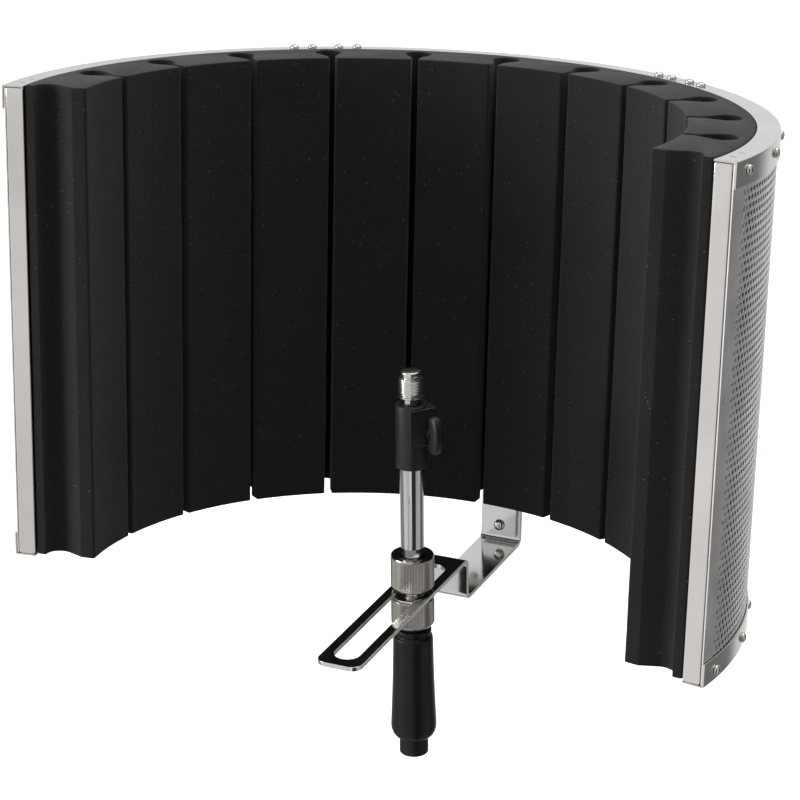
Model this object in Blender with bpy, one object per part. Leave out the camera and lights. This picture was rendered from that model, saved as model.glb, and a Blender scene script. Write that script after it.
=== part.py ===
"""Microphone isolation shield on its stand clutch.

Metres, +Z up. The origin is on the post's axis, at the lower end of the stub tube that drops into the
stand. The shield opens towards -Y. Its curved shell leans back a few degrees from the post, because the
upturned end of the bracket bar is bent past square, so every shield piece is made in the shield's own
frame (arc centre on its Z axis, bottom rail at z = 0) and hangs from the shield_frame empty.
"""

from math import acos, atan2, cos, pi, radians, sin, sqrt

import bmesh
import bpy
from mathutils import Matrix, Vector

MM = 0.001
CLEAR = 0.3 * MM  # gap between touching pieces
HEAD_CLEAR = 0.15 * MM  # gap under a screw head
ARC_STEP = radians(3.0)  # length of one facet along the shell

# Shield frame
SHIELD_ORIGIN = Vector((0, -67.9 * MM, 144.7 * MM))
SHIELD_LEAN = radians(4.26)
HALF_ANGLE = radians(100.3)  # from the back centre to either end
SHIELD_HEIGHT = 300 * MM
OUTER_RADIUS = 231.1 * MM  # outside of the rails' lips
FLANGE_WIDTH = 13.7 * MM
SHEET = 1.0 * MM  # thickness of rails and end channels
LIP_HEIGHT = 14.5 * MM
SHELL_RADIUS = 229.8 * MM  # outside of the perforated shell
SHELL_THICKNESS = 0.8 * MM
WEB_INNER = 217.6 * MM  # end channel, radially
WEB_OUTER = 228.7 * MM
CHANNEL_LEG = 20 * MM
BACKING_RADIUS = 218.9 * MM
FELT_INNER = 220.0 * MM
FELT_OUTER = 227.4 * MM
FELT_MARGIN = 4.0 * MM  # felt stops short of the rails

# Foam
FOAM_FRONT = 178.7 * MM
FOAM_BACK = 217.0 * MM
FOAM_BOTTOM = 1.5 * MM
FOAM_TOP = 300.5 * MM
SLOT_COUNT = 11
SLOT_PITCH = radians(16.84)
SLOT_WIDTH_MIDDLE = 5.2 * MM  # the foam is bent, so the slots close towards the ends
SLOT_WIDTH_STEP = 0.35 * MM
SLOT_NECK = 9.0 * MM  # straight part of a slot, from the front face
HOLE_RADIUS = 8.5 * MM
HOLE_DEPTH = 23.4 * MM  # hole centre, from the front face
FOAM_END_SLOT = radians(100.1)  # each end is cut through the middle of a slot
END_SLOT_HALF = 1.9 * MM
FOAM_END_ANGLE = radians(100.0)

# Rail joints and screws
JOINT_ANGLE = HALF_ANGLE / 3
SPLICE_HALF = radians(7.2)
SPLICE_INNER = 220.0 * MM
SPLICE_OUTER = 228.5 * MM
SPLICE_SCREW_OFFSETS = (radians(2.25), radians(5.35))
SPLICE_SCREW_RADIUS = 223.8 * MM
LIP_SCREW_END = radians(96.5)
LIP_SCREW_PITCH = radians(12.87)
LIP_SCREW_INSET = 6.3 * MM  # from the rail's face
SCREW_HEAD_RADIUS = 3.0 * MM
SCREW_HEAD_HEIGHT = 2.0 * MM
SHANK_RADIUS = 1.5 * MM
SHANK_HOLE = 1.8 * MM
SPLICE_SHANK = 3.3 * MM
LIP_SHANK = 3.3 * MM

# Bracket bar, in the part's frame: Y and Z of the middle of the 3 mm strip
BAR_HALF_WIDTH = 14.7 * MM
BAR_THICKNESS = 3.0 * MM
BAR_FRONT = -113.5 * MM
BAR_TOP = 118.0 * MM
STEP_Y = 56.3 * MM
LOWER_TOP = 90.0 * MM
BEND_RADIUS = 4.5 * MM
FRONT_CORNER = 7.0 * MM
SLOT_HALF = 8.2 * MM
SLOT_FRONT = -105.0 * MM
SLOT_BACK = 39.5 * MM

# Hanger plate and the bar's upturned tab, in the shield's frame
HANGER_FRONT = 218.5 * MM
HANGER_THICKNESS = 2.5 * MM
HANGER_HALF = 12.0 * MM
HANGER_BOTTOM = -34.5 * MM
FOOT_HALF = 30.0 * MM
FOOT_DEPTH = 10.5 * MM
FOOT_SCREW_X = 22.0 * MM
FOOT_SCREW_Y = 224.5 * MM
TAB_MIDDLE = 222.9 * MM
TAB_TOP = -3.6 * MM
TAB_SCREW_Z = -27.2 * MM
TAB_SCREW_RADIUS = 2.4 * MM
TAB_SCREW_HOLE = 2.8 * MM
TAB_HEAD_RADIUS = 3.9 * MM

# Post, from the bottom up: radii and heights
STUB_RADIUS = 9.5 * MM
STUB_BORE = 8.6 * MM
STUB_TOP = 46 * MM
COLLET_BOTTOM = 46.6 * MM
COLLET_TOP = 60.0 * MM
GRIP_BOTTOM = 12.3 * MM
GRIP_WIDE = 15.0 * MM
GRIP_WIDE_Z = 21.0 * MM
GRIP_SHOULDER = 12.7 * MM
GRIP_SHOULDER_Z = 83.0 * MM
GRIP_RING = 12.0 * MM
GRIP_TOP = 91.0 * MM
INNER_TUBE_RADIUS = 8.0 * MM
INNER_TUBE_BORE = 6.9 * MM
INNER_TUBE_BOTTOM = 6.0 * MM
STEM_RADIUS = 5.9 * MM
STEM_TOP = 148 * MM
NUT_RADIUS = 14.0 * MM
NUT_BORE = 6.2 * MM
LOWER_NUT_BOTTOM = 91.8 * MM
LOWER_NUT_TOP = 113.1 * MM
WASHER_RADIUS = 13.4 * MM
WASHER_BOTTOM = 113.4 * MM
WASHER_TOP = 114.7 * MM
UPPER_NUT_BOTTOM = 118.3 * MM
UPPER_NUT_SHELF = 123.9 * MM
UPPER_NUT_TOP = 142.6 * MM
TUBE_RADIUS = 7.6 * MM
TUBE_BORE = 6.2 * MM
TUBE_BOTTOM = 124.2 * MM
TUBE_TOP = 217.8 * MM
COLLAR_RADIUS = 9.9 * MM
COLLAR_BOTTOM = 203.6 * MM
COLLAR_SHELF = 218.1 * MM
COLLAR_TOP = 245.8 * MM
EAR_BOTTOM = 219.4 * MM
EAR_TOP = 244.4 * MM
EAR_ANGLE = radians(50.4)  # from +X towards +Y
EAR_BACK = -5.7 * MM
EAR_LENGTH = 12.8 * MM
EAR_HALF_WIDTH = 10.3 * MM
EAR_SLIT = 1.4 * MM
WING_HEIGHT = 228.1 * MM
WING_REACH = 8.6 * MM  # from the post's axis to the wing screw's
WING_SCREW_RADIUS = 1.6 * MM
WING_BORE = 1.9 * MM
WING_HUB_RADIUS = 4.2 * MM
WING_START = 12.8 * MM
WING_CENTRE = 15.8 * MM
WING_HALF_LENGTH = 6.8 * MM
WING_HALF_HEIGHT = 12.6 * MM
WING_HALF_THICKNESS = 3.0 * MM
ROD_RADIUS = 5.5 * MM
ROD_BORE = 5.8 * MM
ROD_BOTTOM = 150 * MM
ROD_TOP = 258 * MM
THREAD_RADIUS = 7.93 * MM
THREAD_BOTTOM = 250.4 * MM
THREAD_TOP = 263.4 * MM
TIP_RADIUS = 6.3 * MM
TIP_TOP = 267.6 * MM


def clear_scene():
    for obj in list(bpy.data.objects):
        bpy.data.objects.remove(obj, do_unlink=True)


def make_material(name, colour, roughness, metallic):
    material = bpy.data.materials.new(name)
    material.use_nodes = True
    shader = material.node_tree.nodes["Principled BSDF"]
    shader.inputs["Base Color"].default_value = (*colour, 1)
    shader.inputs["Roughness"].default_value = roughness
    shader.inputs["Metallic"].default_value = metallic
    material.diffuse_color = (*colour, 1)
    return material


def make_empty(name, matrix):
    empty = bpy.data.objects.new(name, None)
    empty.matrix_basis = matrix
    bpy.context.scene.collection.objects.link(empty)
    return empty


def make_object(name, mesh, material, parent=None, matrix=None):
    """One named object. Its material is its own, so a shared mesh takes it from the object's slot."""
    obj = bpy.data.objects.new(name, mesh)
    if not mesh.materials:
        mesh.materials.append(None)
    obj.material_slots[0].link = "OBJECT"
    obj.material_slots[0].material = material
    if parent:
        obj.parent = parent
    if matrix:
        obj.matrix_basis = matrix
    bpy.context.scene.collection.objects.link(obj)
    return obj


def finish_mesh(bm, name, smooth=True):
    bmesh.ops.remove_doubles(bm, verts=bm.verts, dist=1e-7)
    bmesh.ops.recalc_face_normals(bm, faces=bm.faces)
    mesh = bpy.data.meshes.new(name)
    bm.to_mesh(mesh)
    bm.free()
    if smooth:
        mesh.shade_smooth()
        mesh.set_sharp_from_angle(angle=radians(35))
    return mesh


def profile_verts(bm, points):
    return [bm.verts.new(point) for point in points]


def turned_mesh(name, profile, segments, closed=False):
    """A profile of (radius, height) points turned about Z. An open profile starts and ends on the axis."""
    bm = bmesh.new()
    verts = profile_verts(bm, [(r, 0, z) for r, z in profile])
    edges = [bm.edges.new(pair) for pair in zip(verts, verts[1:])]
    if closed:
        edges.append(bm.edges.new((verts[-1], verts[0])))
    bmesh.ops.spin(
        bm, geom=verts + edges, cent=(0, 0, 0), axis=(0, 0, 1), angle=2 * pi, steps=segments, use_merge=True
    )
    return finish_mesh(bm, name)


def swept_mesh(name, section, start, end):
    """A closed section of (radius, height) points swept round Z; angles run from +Y towards +X."""
    bm = bmesh.new()
    verts = profile_verts(bm, [(r * sin(start), r * cos(start), z) for r, z in section])
    face = bm.faces.new(verts)
    steps = max(1, round((end - start) / ARC_STEP))
    bmesh.ops.spin(
        bm,
        geom=verts + list(face.edges) + [face],
        cent=(0, 0, 0),
        axis=(0, 0, 1),
        angle=start - end,
        steps=steps,
    )
    return finish_mesh(bm, name)


def prism_mesh(name, outline, low, high):
    """A plan outline of (x, y) points, extruded from z = low to z = high."""
    bm = bmesh.new()
    face = bm.faces.new(profile_verts(bm, [(x, y, low) for x, y in outline]))
    top = bmesh.ops.extrude_face_region(bm, geom=[face])
    verts = [item for item in top["geom"] if isinstance(item, bmesh.types.BMVert)]
    bmesh.ops.translate(bm, verts=verts, vec=(0, 0, high - low))
    return finish_mesh(bm, name)


def box_mesh(name, low, high):
    bm = bmesh.new()
    size = Vector(high) - Vector(low)
    middle = (Vector(high) + Vector(low)) / 2
    bmesh.ops.create_cube(bm, size=1, matrix=Matrix.Translation(middle) @ Matrix.Diagonal((*size, 1)))
    return finish_mesh(bm, name, smooth=False)


def peg(bm, matrix, radius, low, high, segments=10):
    """A plain cylinder along the matrix's own Z, for use in a cutter."""
    length = high - low
    place = matrix @ Matrix.Translation((0, 0, (low + high) / 2))
    bmesh.ops.create_cone(
        bm, cap_ends=True, segments=segments, radius1=radius, radius2=radius, depth=length, matrix=place
    )


def use_cutter(target, cutter_mesh, operation="DIFFERENCE"):
    cutter = bpy.data.objects.new(target.name + "_" + operation.lower(), cutter_mesh)
    cutter.parent = target.parent
    cutter.matrix_basis = target.matrix_basis
    cutter.hide_render = True
    cutter.display_type = "WIRE"
    bpy.context.scene.collection.objects.link(cutter)
    modifier = target.modifiers.new(operation.title(), "BOOLEAN")
    modifier.operation = operation
    modifier.solver = "EXACT"
    modifier.object = cutter


def drill(target, places, radius, low, high):
    """Round holes through the target, one along the Z of each place."""
    bm = bmesh.new()
    for place in places:
        peg(bm, place, radius, low, high)
    use_cutter(target, finish_mesh(bm, target.name + "_holes"))


def on_arc(angle, radius):
    return (radius * sin(angle), radius * cos(angle))


def arc_points(radius, start, end, step=ARC_STEP):
    steps = max(1, round(abs(end - start) / step))
    return [on_arc(start + (end - start) * i / steps, radius) for i in range(steps + 1)]


def radial_place(angle, radius, height):
    """Z points outwards from the shell at this angle."""
    x, y = on_arc(angle, radius)
    turn = Vector((0, 0, 1)).rotation_difference(Vector((x, y, 0))).to_matrix().to_4x4()
    return Matrix.Translation((x, y, height)) @ turn


def vertical_place(angle, radius, height, up=True):
    x, y = on_arc(angle, radius)
    turn = Matrix.Identity(4) if up else Matrix.Rotation(pi, 4, "X")
    return Matrix.Translation((x, y, height)) @ turn


def dome(radius, height, low, steps=2):
    """The domed outline of a screw head, from its rim up to the axis."""
    turns = [pi / 2 * i / steps for i in range(steps + 1)]
    return [(radius * cos(turn), low + height * sin(turn)) for turn in turns]


def screw_mesh(name, head_radius, head_height, shank_radius, shank_length, segments=8):
    """A domed screw: the surface it clamps is z = 0, its head above and its shank below."""
    profile = [(0, -shank_length), (shank_radius, -shank_length), (shank_radius, HEAD_CLEAR)]
    profile += [(head_radius, HEAD_CLEAR)] + dome(head_radius, head_height, 4 * HEAD_CLEAR)
    return turned_mesh(name, profile, segments)


# ---------------------------------------------------------------- materials

clear_scene()

PLATED = dict(colour=(0.72, 0.71, 0.69), roughness=0.18, metallic=1.0)
CHROME = dict(colour=(0.80, 0.80, 0.80), roughness=0.08, metallic=1.0)
SATIN_BLACK = dict(colour=(0.015, 0.015, 0.014), roughness=0.42, metallic=0.0)
FOAM_BLACK = dict(colour=(0.035, 0.035, 0.036), roughness=0.95, metallic=0.0)
FELT_GREY = dict(colour=(0.16, 0.16, 0.17), roughness=0.95, metallic=0.0)
RAW_ALUMINIUM = dict(colour=(0.60, 0.60, 0.61), roughness=0.40, metallic=1.0)
SCREW_PLATE = dict(colour=(0.66, 0.65, 0.62), roughness=0.22, metallic=1.0)
KNURLED_NICKEL = dict(colour=(0.56, 0.54, 0.51), roughness=0.28, metallic=1.0)


def add(name, mesh, look, parent=None, matrix=None):
    return make_object(name, mesh, make_material(name, **look), parent, matrix)


shield_frame = make_empty(
    "shield_frame", Matrix.Translation(SHIELD_ORIGIN) @ Matrix.Rotation(-SHIELD_LEAN, 4, "X")
)


# ---------------------------------------------------------------- shell and its layers


def band(low_radius, high_radius, low, high):
    return [(low_radius, low), (high_radius, low), (high_radius, high), (low_radius, high)]


def build_layers():
    """Perforated shell, felt and backing sheet: three bent sheets between the rails."""
    low = SHEET + CLEAR
    high = SHIELD_HEIGHT - SHEET - CLEAR
    end = HALF_ANGLE - 0.4 * MM / OUTER_RADIUS
    shell_section = band(SHELL_RADIUS - SHELL_THICKNESS, SHELL_RADIUS, low, high)
    shell = add(
        "perforated_shell",
        swept_mesh("perforated_shell", shell_section, -end, end),
        RAW_ALUMINIUM,
        shield_frame,
    )
    drill(shell, lip_screw_places(), SHANK_HOLE, -4 * MM, 2 * MM)
    web_end = HALF_ANGLE - (SHEET + 2 * CLEAR) / WEB_OUTER
    backing_section = band(BACKING_RADIUS, BACKING_RADIUS + 0.8 * MM, low, high)
    add(
        "backing_sheet",
        swept_mesh("backing_sheet", backing_section, -web_end, web_end),
        RAW_ALUMINIUM,
        shield_frame,
    )
    felt_end = HALF_ANGLE - (CHANNEL_LEG + 2 * MM) / WEB_INNER
    add(
        "absorber_felt",
        swept_mesh(
            "absorber_felt",
            band(FELT_INNER, FELT_OUTER, FELT_MARGIN, SHIELD_HEIGHT - FELT_MARGIN),
            -felt_end,
            felt_end,
        ),
        FELT_GREY,
        shield_frame,
    )


def slot_walk(half):
    """A slot with a round hole at its root, as (across, depth) from the middle of its mouth."""
    reach = HOLE_DEPTH - SLOT_NECK
    apex = sqrt(reach**2 + half**2)
    tangent = atan2(half, reach) + acos(HOLE_RADIUS / apex)
    steps = 10
    hole = []
    for i in range(steps + 1):
        turn = tangent + (2 * pi - 2 * tangent) * i / steps
        hole.append((-HOLE_RADIUS * sin(turn), HOLE_DEPTH - HOLE_RADIUS * cos(turn)))
    return [(-half, 0), (-half, SLOT_NECK)] + hole + [(half, SLOT_NECK), (half, 0)]


def foam_point(centre, across, depth):
    radius = FOAM_FRONT + depth
    return (radius * sin(centre) + across * cos(centre), radius * cos(centre) - across * sin(centre))


def slot_edge(index):
    """One slot seen from above, walked from the left lip of its mouth round the hole to the right lip."""
    half = (SLOT_WIDTH_MIDDLE - SLOT_WIDTH_STEP * abs(index)) / 2
    return [foam_point(index * SLOT_PITCH, across, depth) for across, depth in slot_walk(half)]


def foam_end(side):
    """The scooped end face, cut through the middle of the next slot, from the front corner to the back."""
    walk = slot_walk(END_SLOT_HALF)
    walk = walk[: (len(walk) + 1) // 2]
    return [foam_point(side * FOAM_END_SLOT, side * across, depth) for across, depth in walk]


def angle_of(point):
    return atan2(point[0], point[1])


def build_foam():
    """One sheet of foam, slotted from the front so that it bends round: twelve blocks on a common back."""
    reach = SLOT_COUNT // 2
    walls = [foam_end(-1)[::-1]] + [slot_edge(index) for index in range(-reach, reach + 1)] + [foam_end(1)]
    outline = []
    for left, right in zip(walls, walls[1:]):
        face = arc_points(FOAM_FRONT, angle_of(left[-1]), angle_of(right[0]), radians(4.5))
        outline += left + face[1:-1]
    outline += walls[-1] + arc_points(FOAM_BACK, FOAM_END_ANGLE, -FOAM_END_ANGLE)
    add(
        "acoustic_foam",
        prism_mesh("acoustic_foam", outline, FOAM_BOTTOM, FOAM_TOP),
        FOAM_BLACK,
        shield_frame,
    )


# ---------------------------------------------------------------- frame


def splice_angles():
    """Angles of the flange screws, two on each side of both joints."""
    return [
        joint + side * offset
        for joint in (-JOINT_ANGLE, JOINT_ANGLE)
        for side in (-1, 1)
        for offset in sorted(SPLICE_SCREW_OFFSETS, key=lambda value: side * value)
    ]


def rail_places(top):
    height = SHIELD_HEIGHT if top else 0
    return [vertical_place(angle, SPLICE_SCREW_RADIUS, height, up=top) for angle in splice_angles()]


def lip_screw_angles():
    """The two lip screws nearest each end; the row goes on round the shell at the same pitch."""
    return [-LIP_SCREW_END, -LIP_SCREW_END + LIP_SCREW_PITCH, LIP_SCREW_END - LIP_SCREW_PITCH, LIP_SCREW_END]


def lip_screw_places():
    heights = (LIP_SCREW_INSET, SHIELD_HEIGHT - LIP_SCREW_INSET)
    return [radial_place(angle, OUTER_RADIUS, height) for height in heights for angle in lip_screw_angles()]


def foot_places():
    turn = Matrix.Rotation(pi, 4, "X")
    return [Matrix.Translation((x, FOOT_SCREW_Y, 0)) @ turn for x in (-FOOT_SCREW_X, FOOT_SCREW_X)]


def build_rails():
    """Three L-section arcs at the top and three at the bottom, flange inwards and lip outside the shell."""
    inner = OUTER_RADIUS - FLANGE_WIDTH
    lip = OUTER_RADIUS - SHEET
    top = SHIELD_HEIGHT
    sections = {
        "top": [
            (inner, top - SHEET),
            (lip, top - SHEET),
            (lip, top - LIP_HEIGHT),
            (OUTER_RADIUS, top - LIP_HEIGHT),
            (OUTER_RADIUS, top),
            (inner, top),
        ],
        "bottom": [
            (inner, 0),
            (OUTER_RADIUS, 0),
            (OUTER_RADIUS, LIP_HEIGHT),
            (lip, LIP_HEIGHT),
            (lip, SHEET),
            (inner, SHEET),
        ],
    }
    gap = 0.25 * MM / OUTER_RADIUS
    spans = {
        "left": (-HALF_ANGLE, -JOINT_ANGLE - gap),
        "centre": (-JOINT_ANGLE + gap, JOINT_ANGLE - gap),
        "right": (JOINT_ANGLE + gap, HALF_ANGLE),
    }
    for level, section in sections.items():
        holes = rail_places(level == "top")
        for side, (start, end) in spans.items():
            name = f"{level}_rail_{side}"
            rail = add(name, swept_mesh(name, section, start, end), PLATED, shield_frame)
            here = [place for place in holes if start < angle_of(place.translation) < end]
            if level == "bottom" and side == "centre":
                here += foot_places()
            drill(rail, here, SHANK_HOLE, -3 * MM, 3 * MM)
            if side != "centre":
                lips = [place for place in lip_screw_places() if start < angle_of(place.translation) < end]
                drill(rail, lips, SHANK_HOLE, -3 * MM, 3 * MM)


def build_splices():
    """A flat arc plate inside each rail joint, under the flange."""
    for level in ("top", "bottom"):
        near = SHEET + CLEAR
        far = near + 1.2 * MM
        low, high = (SHIELD_HEIGHT - far, SHIELD_HEIGHT - near) if level == "top" else (near, far)
        for side, joint in (("left", -JOINT_ANGLE), ("right", JOINT_ANGLE)):
            name = f"{level}_splice_{side}"
            start, end = joint - SPLICE_HALF, joint + SPLICE_HALF
            mesh = swept_mesh(name, band(SPLICE_INNER, SPLICE_OUTER, low, high), start, end)
            plate = add(name, mesh, PLATED, shield_frame)
            here = [p for p in rail_places(level == "top") if start < angle_of(p.translation) < end]
            drill(plate, here, SHANK_HOLE, -4 * MM, 2 * MM)


def build_channels():
    """The U-section upright that closes each end of the shell between the rails."""
    low, high = SHEET + CLEAR, SHIELD_HEIGHT - SHEET - CLEAR
    back = HALF_ANGLE - CHANNEL_LEG / WEB_INNER
    web = HALF_ANGLE - SHEET / WEB_OUTER
    for side, sign in (("left", -1), ("right", 1)):
        outline = arc_points(WEB_OUTER, sign * back, sign * HALF_ANGLE)
        outline += arc_points(WEB_INNER, sign * HALF_ANGLE, sign * back)
        outline += arc_points(WEB_INNER + SHEET, sign * back, sign * web)
        outline += arc_points(WEB_OUTER - SHEET, sign * web, sign * back)
        name = f"end_channel_{side}"
        channel = add(name, prism_mesh(name, outline, low, high), PLATED, shield_frame)
        here = [p for p in lip_screw_places() if abs(angle_of(p.translation) - sign * LIP_SCREW_END) < 0.01]
        drill(channel, here, SHANK_HOLE, -4.6 * MM, 2 * MM)


def build_frame_screws():
    head = (SCREW_HEAD_RADIUS, SCREW_HEAD_HEIGHT, SHANK_RADIUS)
    flange_screw = screw_mesh("flange_screw", *head, SPLICE_SHANK)
    lip_screw = screw_mesh("lip_screw", *head, LIP_SHANK)
    for level in ("top", "bottom"):
        for number, place in enumerate(rail_places(level == "top"), 1):
            add(f"{level}_flange_screw_{number}", flange_screw, SCREW_PLATE, shield_frame, place)
    row = len(lip_screw_angles())
    for number, place in enumerate(lip_screw_places()):
        level = "bottom" if number < row else "top"
        add(f"{level}_lip_screw_{number % row + 1}", lip_screw, SCREW_PLATE, shield_frame, place)


# ---------------------------------------------------------------- hanger and bracket bar


def to_world(y, z):
    """Y and Z in the part's frame of a point given in the shield's frame."""
    point = shield_frame.matrix_basis @ Vector((0, y, z))
    return Vector((point.y, point.z))


def tab_place():
    """On the front face of the hanger plate, Z pointing out of it towards the viewer's side."""
    return Matrix.Translation((0, HANGER_FRONT, TAB_SCREW_Z)) @ Matrix.Rotation(pi / 2, 4, "X")


def build_hanger():
    """An angle plate: its foot is screwed up under the bottom rail and its leg is bolted to the bar's tab."""
    foot_high = -CLEAR
    foot_low = foot_high - HANGER_THICKNESS
    hanger = add(
        "hanger_plate",
        box_mesh(
            "hanger_plate",
            (-FOOT_HALF, HANGER_FRONT + 0.4 * MM, foot_low),
            (FOOT_HALF, HANGER_FRONT + FOOT_DEPTH, foot_high),
        ),
        CHROME,
        shield_frame,
    )
    leg = box_mesh(
        "hanger_leg",
        (-HANGER_HALF, HANGER_FRONT, HANGER_BOTTOM),
        (HANGER_HALF, HANGER_FRONT + HANGER_THICKNESS, foot_high - 0.5 * MM),
    )
    use_cutter(hanger, leg, "UNION")
    drill(hanger, foot_places(), SHANK_HOLE, -4 * MM, 6 * MM)
    drill(hanger, [tab_place()], TAB_SCREW_HOLE, -4 * MM, 2 * MM)


def fillet(before, corner, after, radius, steps=4):
    """The corner of a bent strip's middle line as a short arc."""
    into = (corner - before).normalized()
    out = (after - corner).normalized()
    turn = into.angle(out)
    trim = radius * abs(sin(turn / 2) / cos(turn / 2))
    side = 1 if into.x * out.y - into.y * out.x > 0 else -1
    start = corner - into * trim
    centre = start + Vector((-into.y, into.x)) * side * radius
    arm = start - centre
    points = []
    for i in range(steps + 1):
        swing = side * turn * i / steps
        across = arm.x * cos(swing) - arm.y * sin(swing)
        points.append(centre + Vector((across, arm.x * sin(swing) + arm.y * cos(swing))))
    return points


def build_bar():
    """A slotted plate, a step down, a lower bar and an upturned tab, all one strip bent three times."""
    half = BAR_THICKNESS / 2
    upper = BAR_TOP - half
    lower = LOWER_TOP - half
    tab_top = to_world(TAB_MIDDLE, TAB_TOP)
    tab_low = to_world(TAB_MIDDLE, 0)
    slope = (tab_top - tab_low).normalized()
    tab_corner = tab_low + slope * ((lower - tab_low.y) / slope.y)
    corners = [
        Vector((BAR_FRONT, upper)),
        Vector((STEP_Y, upper)),
        Vector((STEP_Y, lower)),
        tab_corner,
        tab_top,
    ]
    line = [corners[0]]
    for before, corner, after in zip(corners, corners[1:], corners[2:]):
        line += fillet(before, corner, after, BEND_RADIUS)
    line.append(corners[-1])
    above, below = [], []
    for i, point in enumerate(line):
        along = (line[min(i + 1, len(line) - 1)] - line[max(i - 1, 0)]).normalized()
        side = Vector((-along.y, along.x)) * half
        above.append(point + side)
        below.append(point - side)
    bm = bmesh.new()
    profile = [(-BAR_HALF_WIDTH, p.x, p.y) for p in above + below[::-1]]
    face = bm.faces.new(profile_verts(bm, profile))
    other = bmesh.ops.extrude_face_region(bm, geom=[face])
    verts = [item for item in other["geom"] if isinstance(item, bmesh.types.BMVert)]
    bmesh.ops.translate(bm, verts=verts, vec=(2 * BAR_HALF_WIDTH, 0, 0))
    front_edges = [
        edge
        for edge in bm.edges
        if all(abs(v.co.y - BAR_FRONT) < 1e-6 for v in edge.verts)
        and abs(edge.verts[0].co.z - edge.verts[1].co.z) > half
    ]
    bmesh.ops.bevel(bm, geom=front_edges, offset=FRONT_CORNER, segments=5, profile=0.5, affect="EDGES")
    bar = add("bracket_bar", finish_mesh(bm, "bracket_bar"), CHROME)
    outline = []
    for centre, start in ((SLOT_FRONT + SLOT_HALF, pi), (SLOT_BACK - SLOT_HALF, 0)):
        for i in range(9):
            turn = start + pi * i / 8
            outline.append((SLOT_HALF * cos(turn), centre + SLOT_HALF * sin(turn)))
    use_cutter(bar, prism_mesh("bar_slot", outline, BAR_TOP - 2 * BAR_THICKNESS, BAR_TOP + BAR_THICKNESS))
    drill(bar, [shield_frame.matrix_basis @ tab_place()], TAB_SCREW_HOLE, -10 * MM, 2 * MM)


def build_hanger_fixings():
    foot_screw = screw_mesh("foot_screw", SCREW_HEAD_RADIUS, SCREW_HEAD_HEIGHT, SHANK_RADIUS, 4.6 * MM)
    surface = Matrix.Translation((0, 0, CLEAR + HANGER_THICKNESS))
    for number, place in enumerate(foot_places(), 1):
        add(f"hanger_foot_screw_{number}", foot_screw, SCREW_PLATE, shield_frame, place @ surface)
    bolt_length = 10.2 * MM
    bolt = screw_mesh("hanger_bolt", TAB_HEAD_RADIUS, 2.6 * MM, TAB_SCREW_RADIUS, bolt_length, segments=12)
    add("hanger_bolt", bolt, SCREW_PLATE, shield_frame, tab_place())
    nut_near = -(TAB_MIDDLE + BAR_THICKNESS / 2 - HANGER_FRONT) - CLEAR
    nut_profile = [
        (TAB_SCREW_HOLE, nut_near - 3.2 * MM),
        (4.6 * MM, nut_near - 3.2 * MM),
        (4.6 * MM, nut_near),
        (TAB_SCREW_HOLE, nut_near),
    ]
    nut = turned_mesh("hanger_nut", nut_profile, 6, closed=True)
    add("hanger_nut", nut, SCREW_PLATE, shield_frame, tab_place())


# ---------------------------------------------------------------- post


def ring(low_radius, high_radius, low, high):
    """The section of a plain tube or washer."""
    return band(low_radius, high_radius, low, high)


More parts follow.
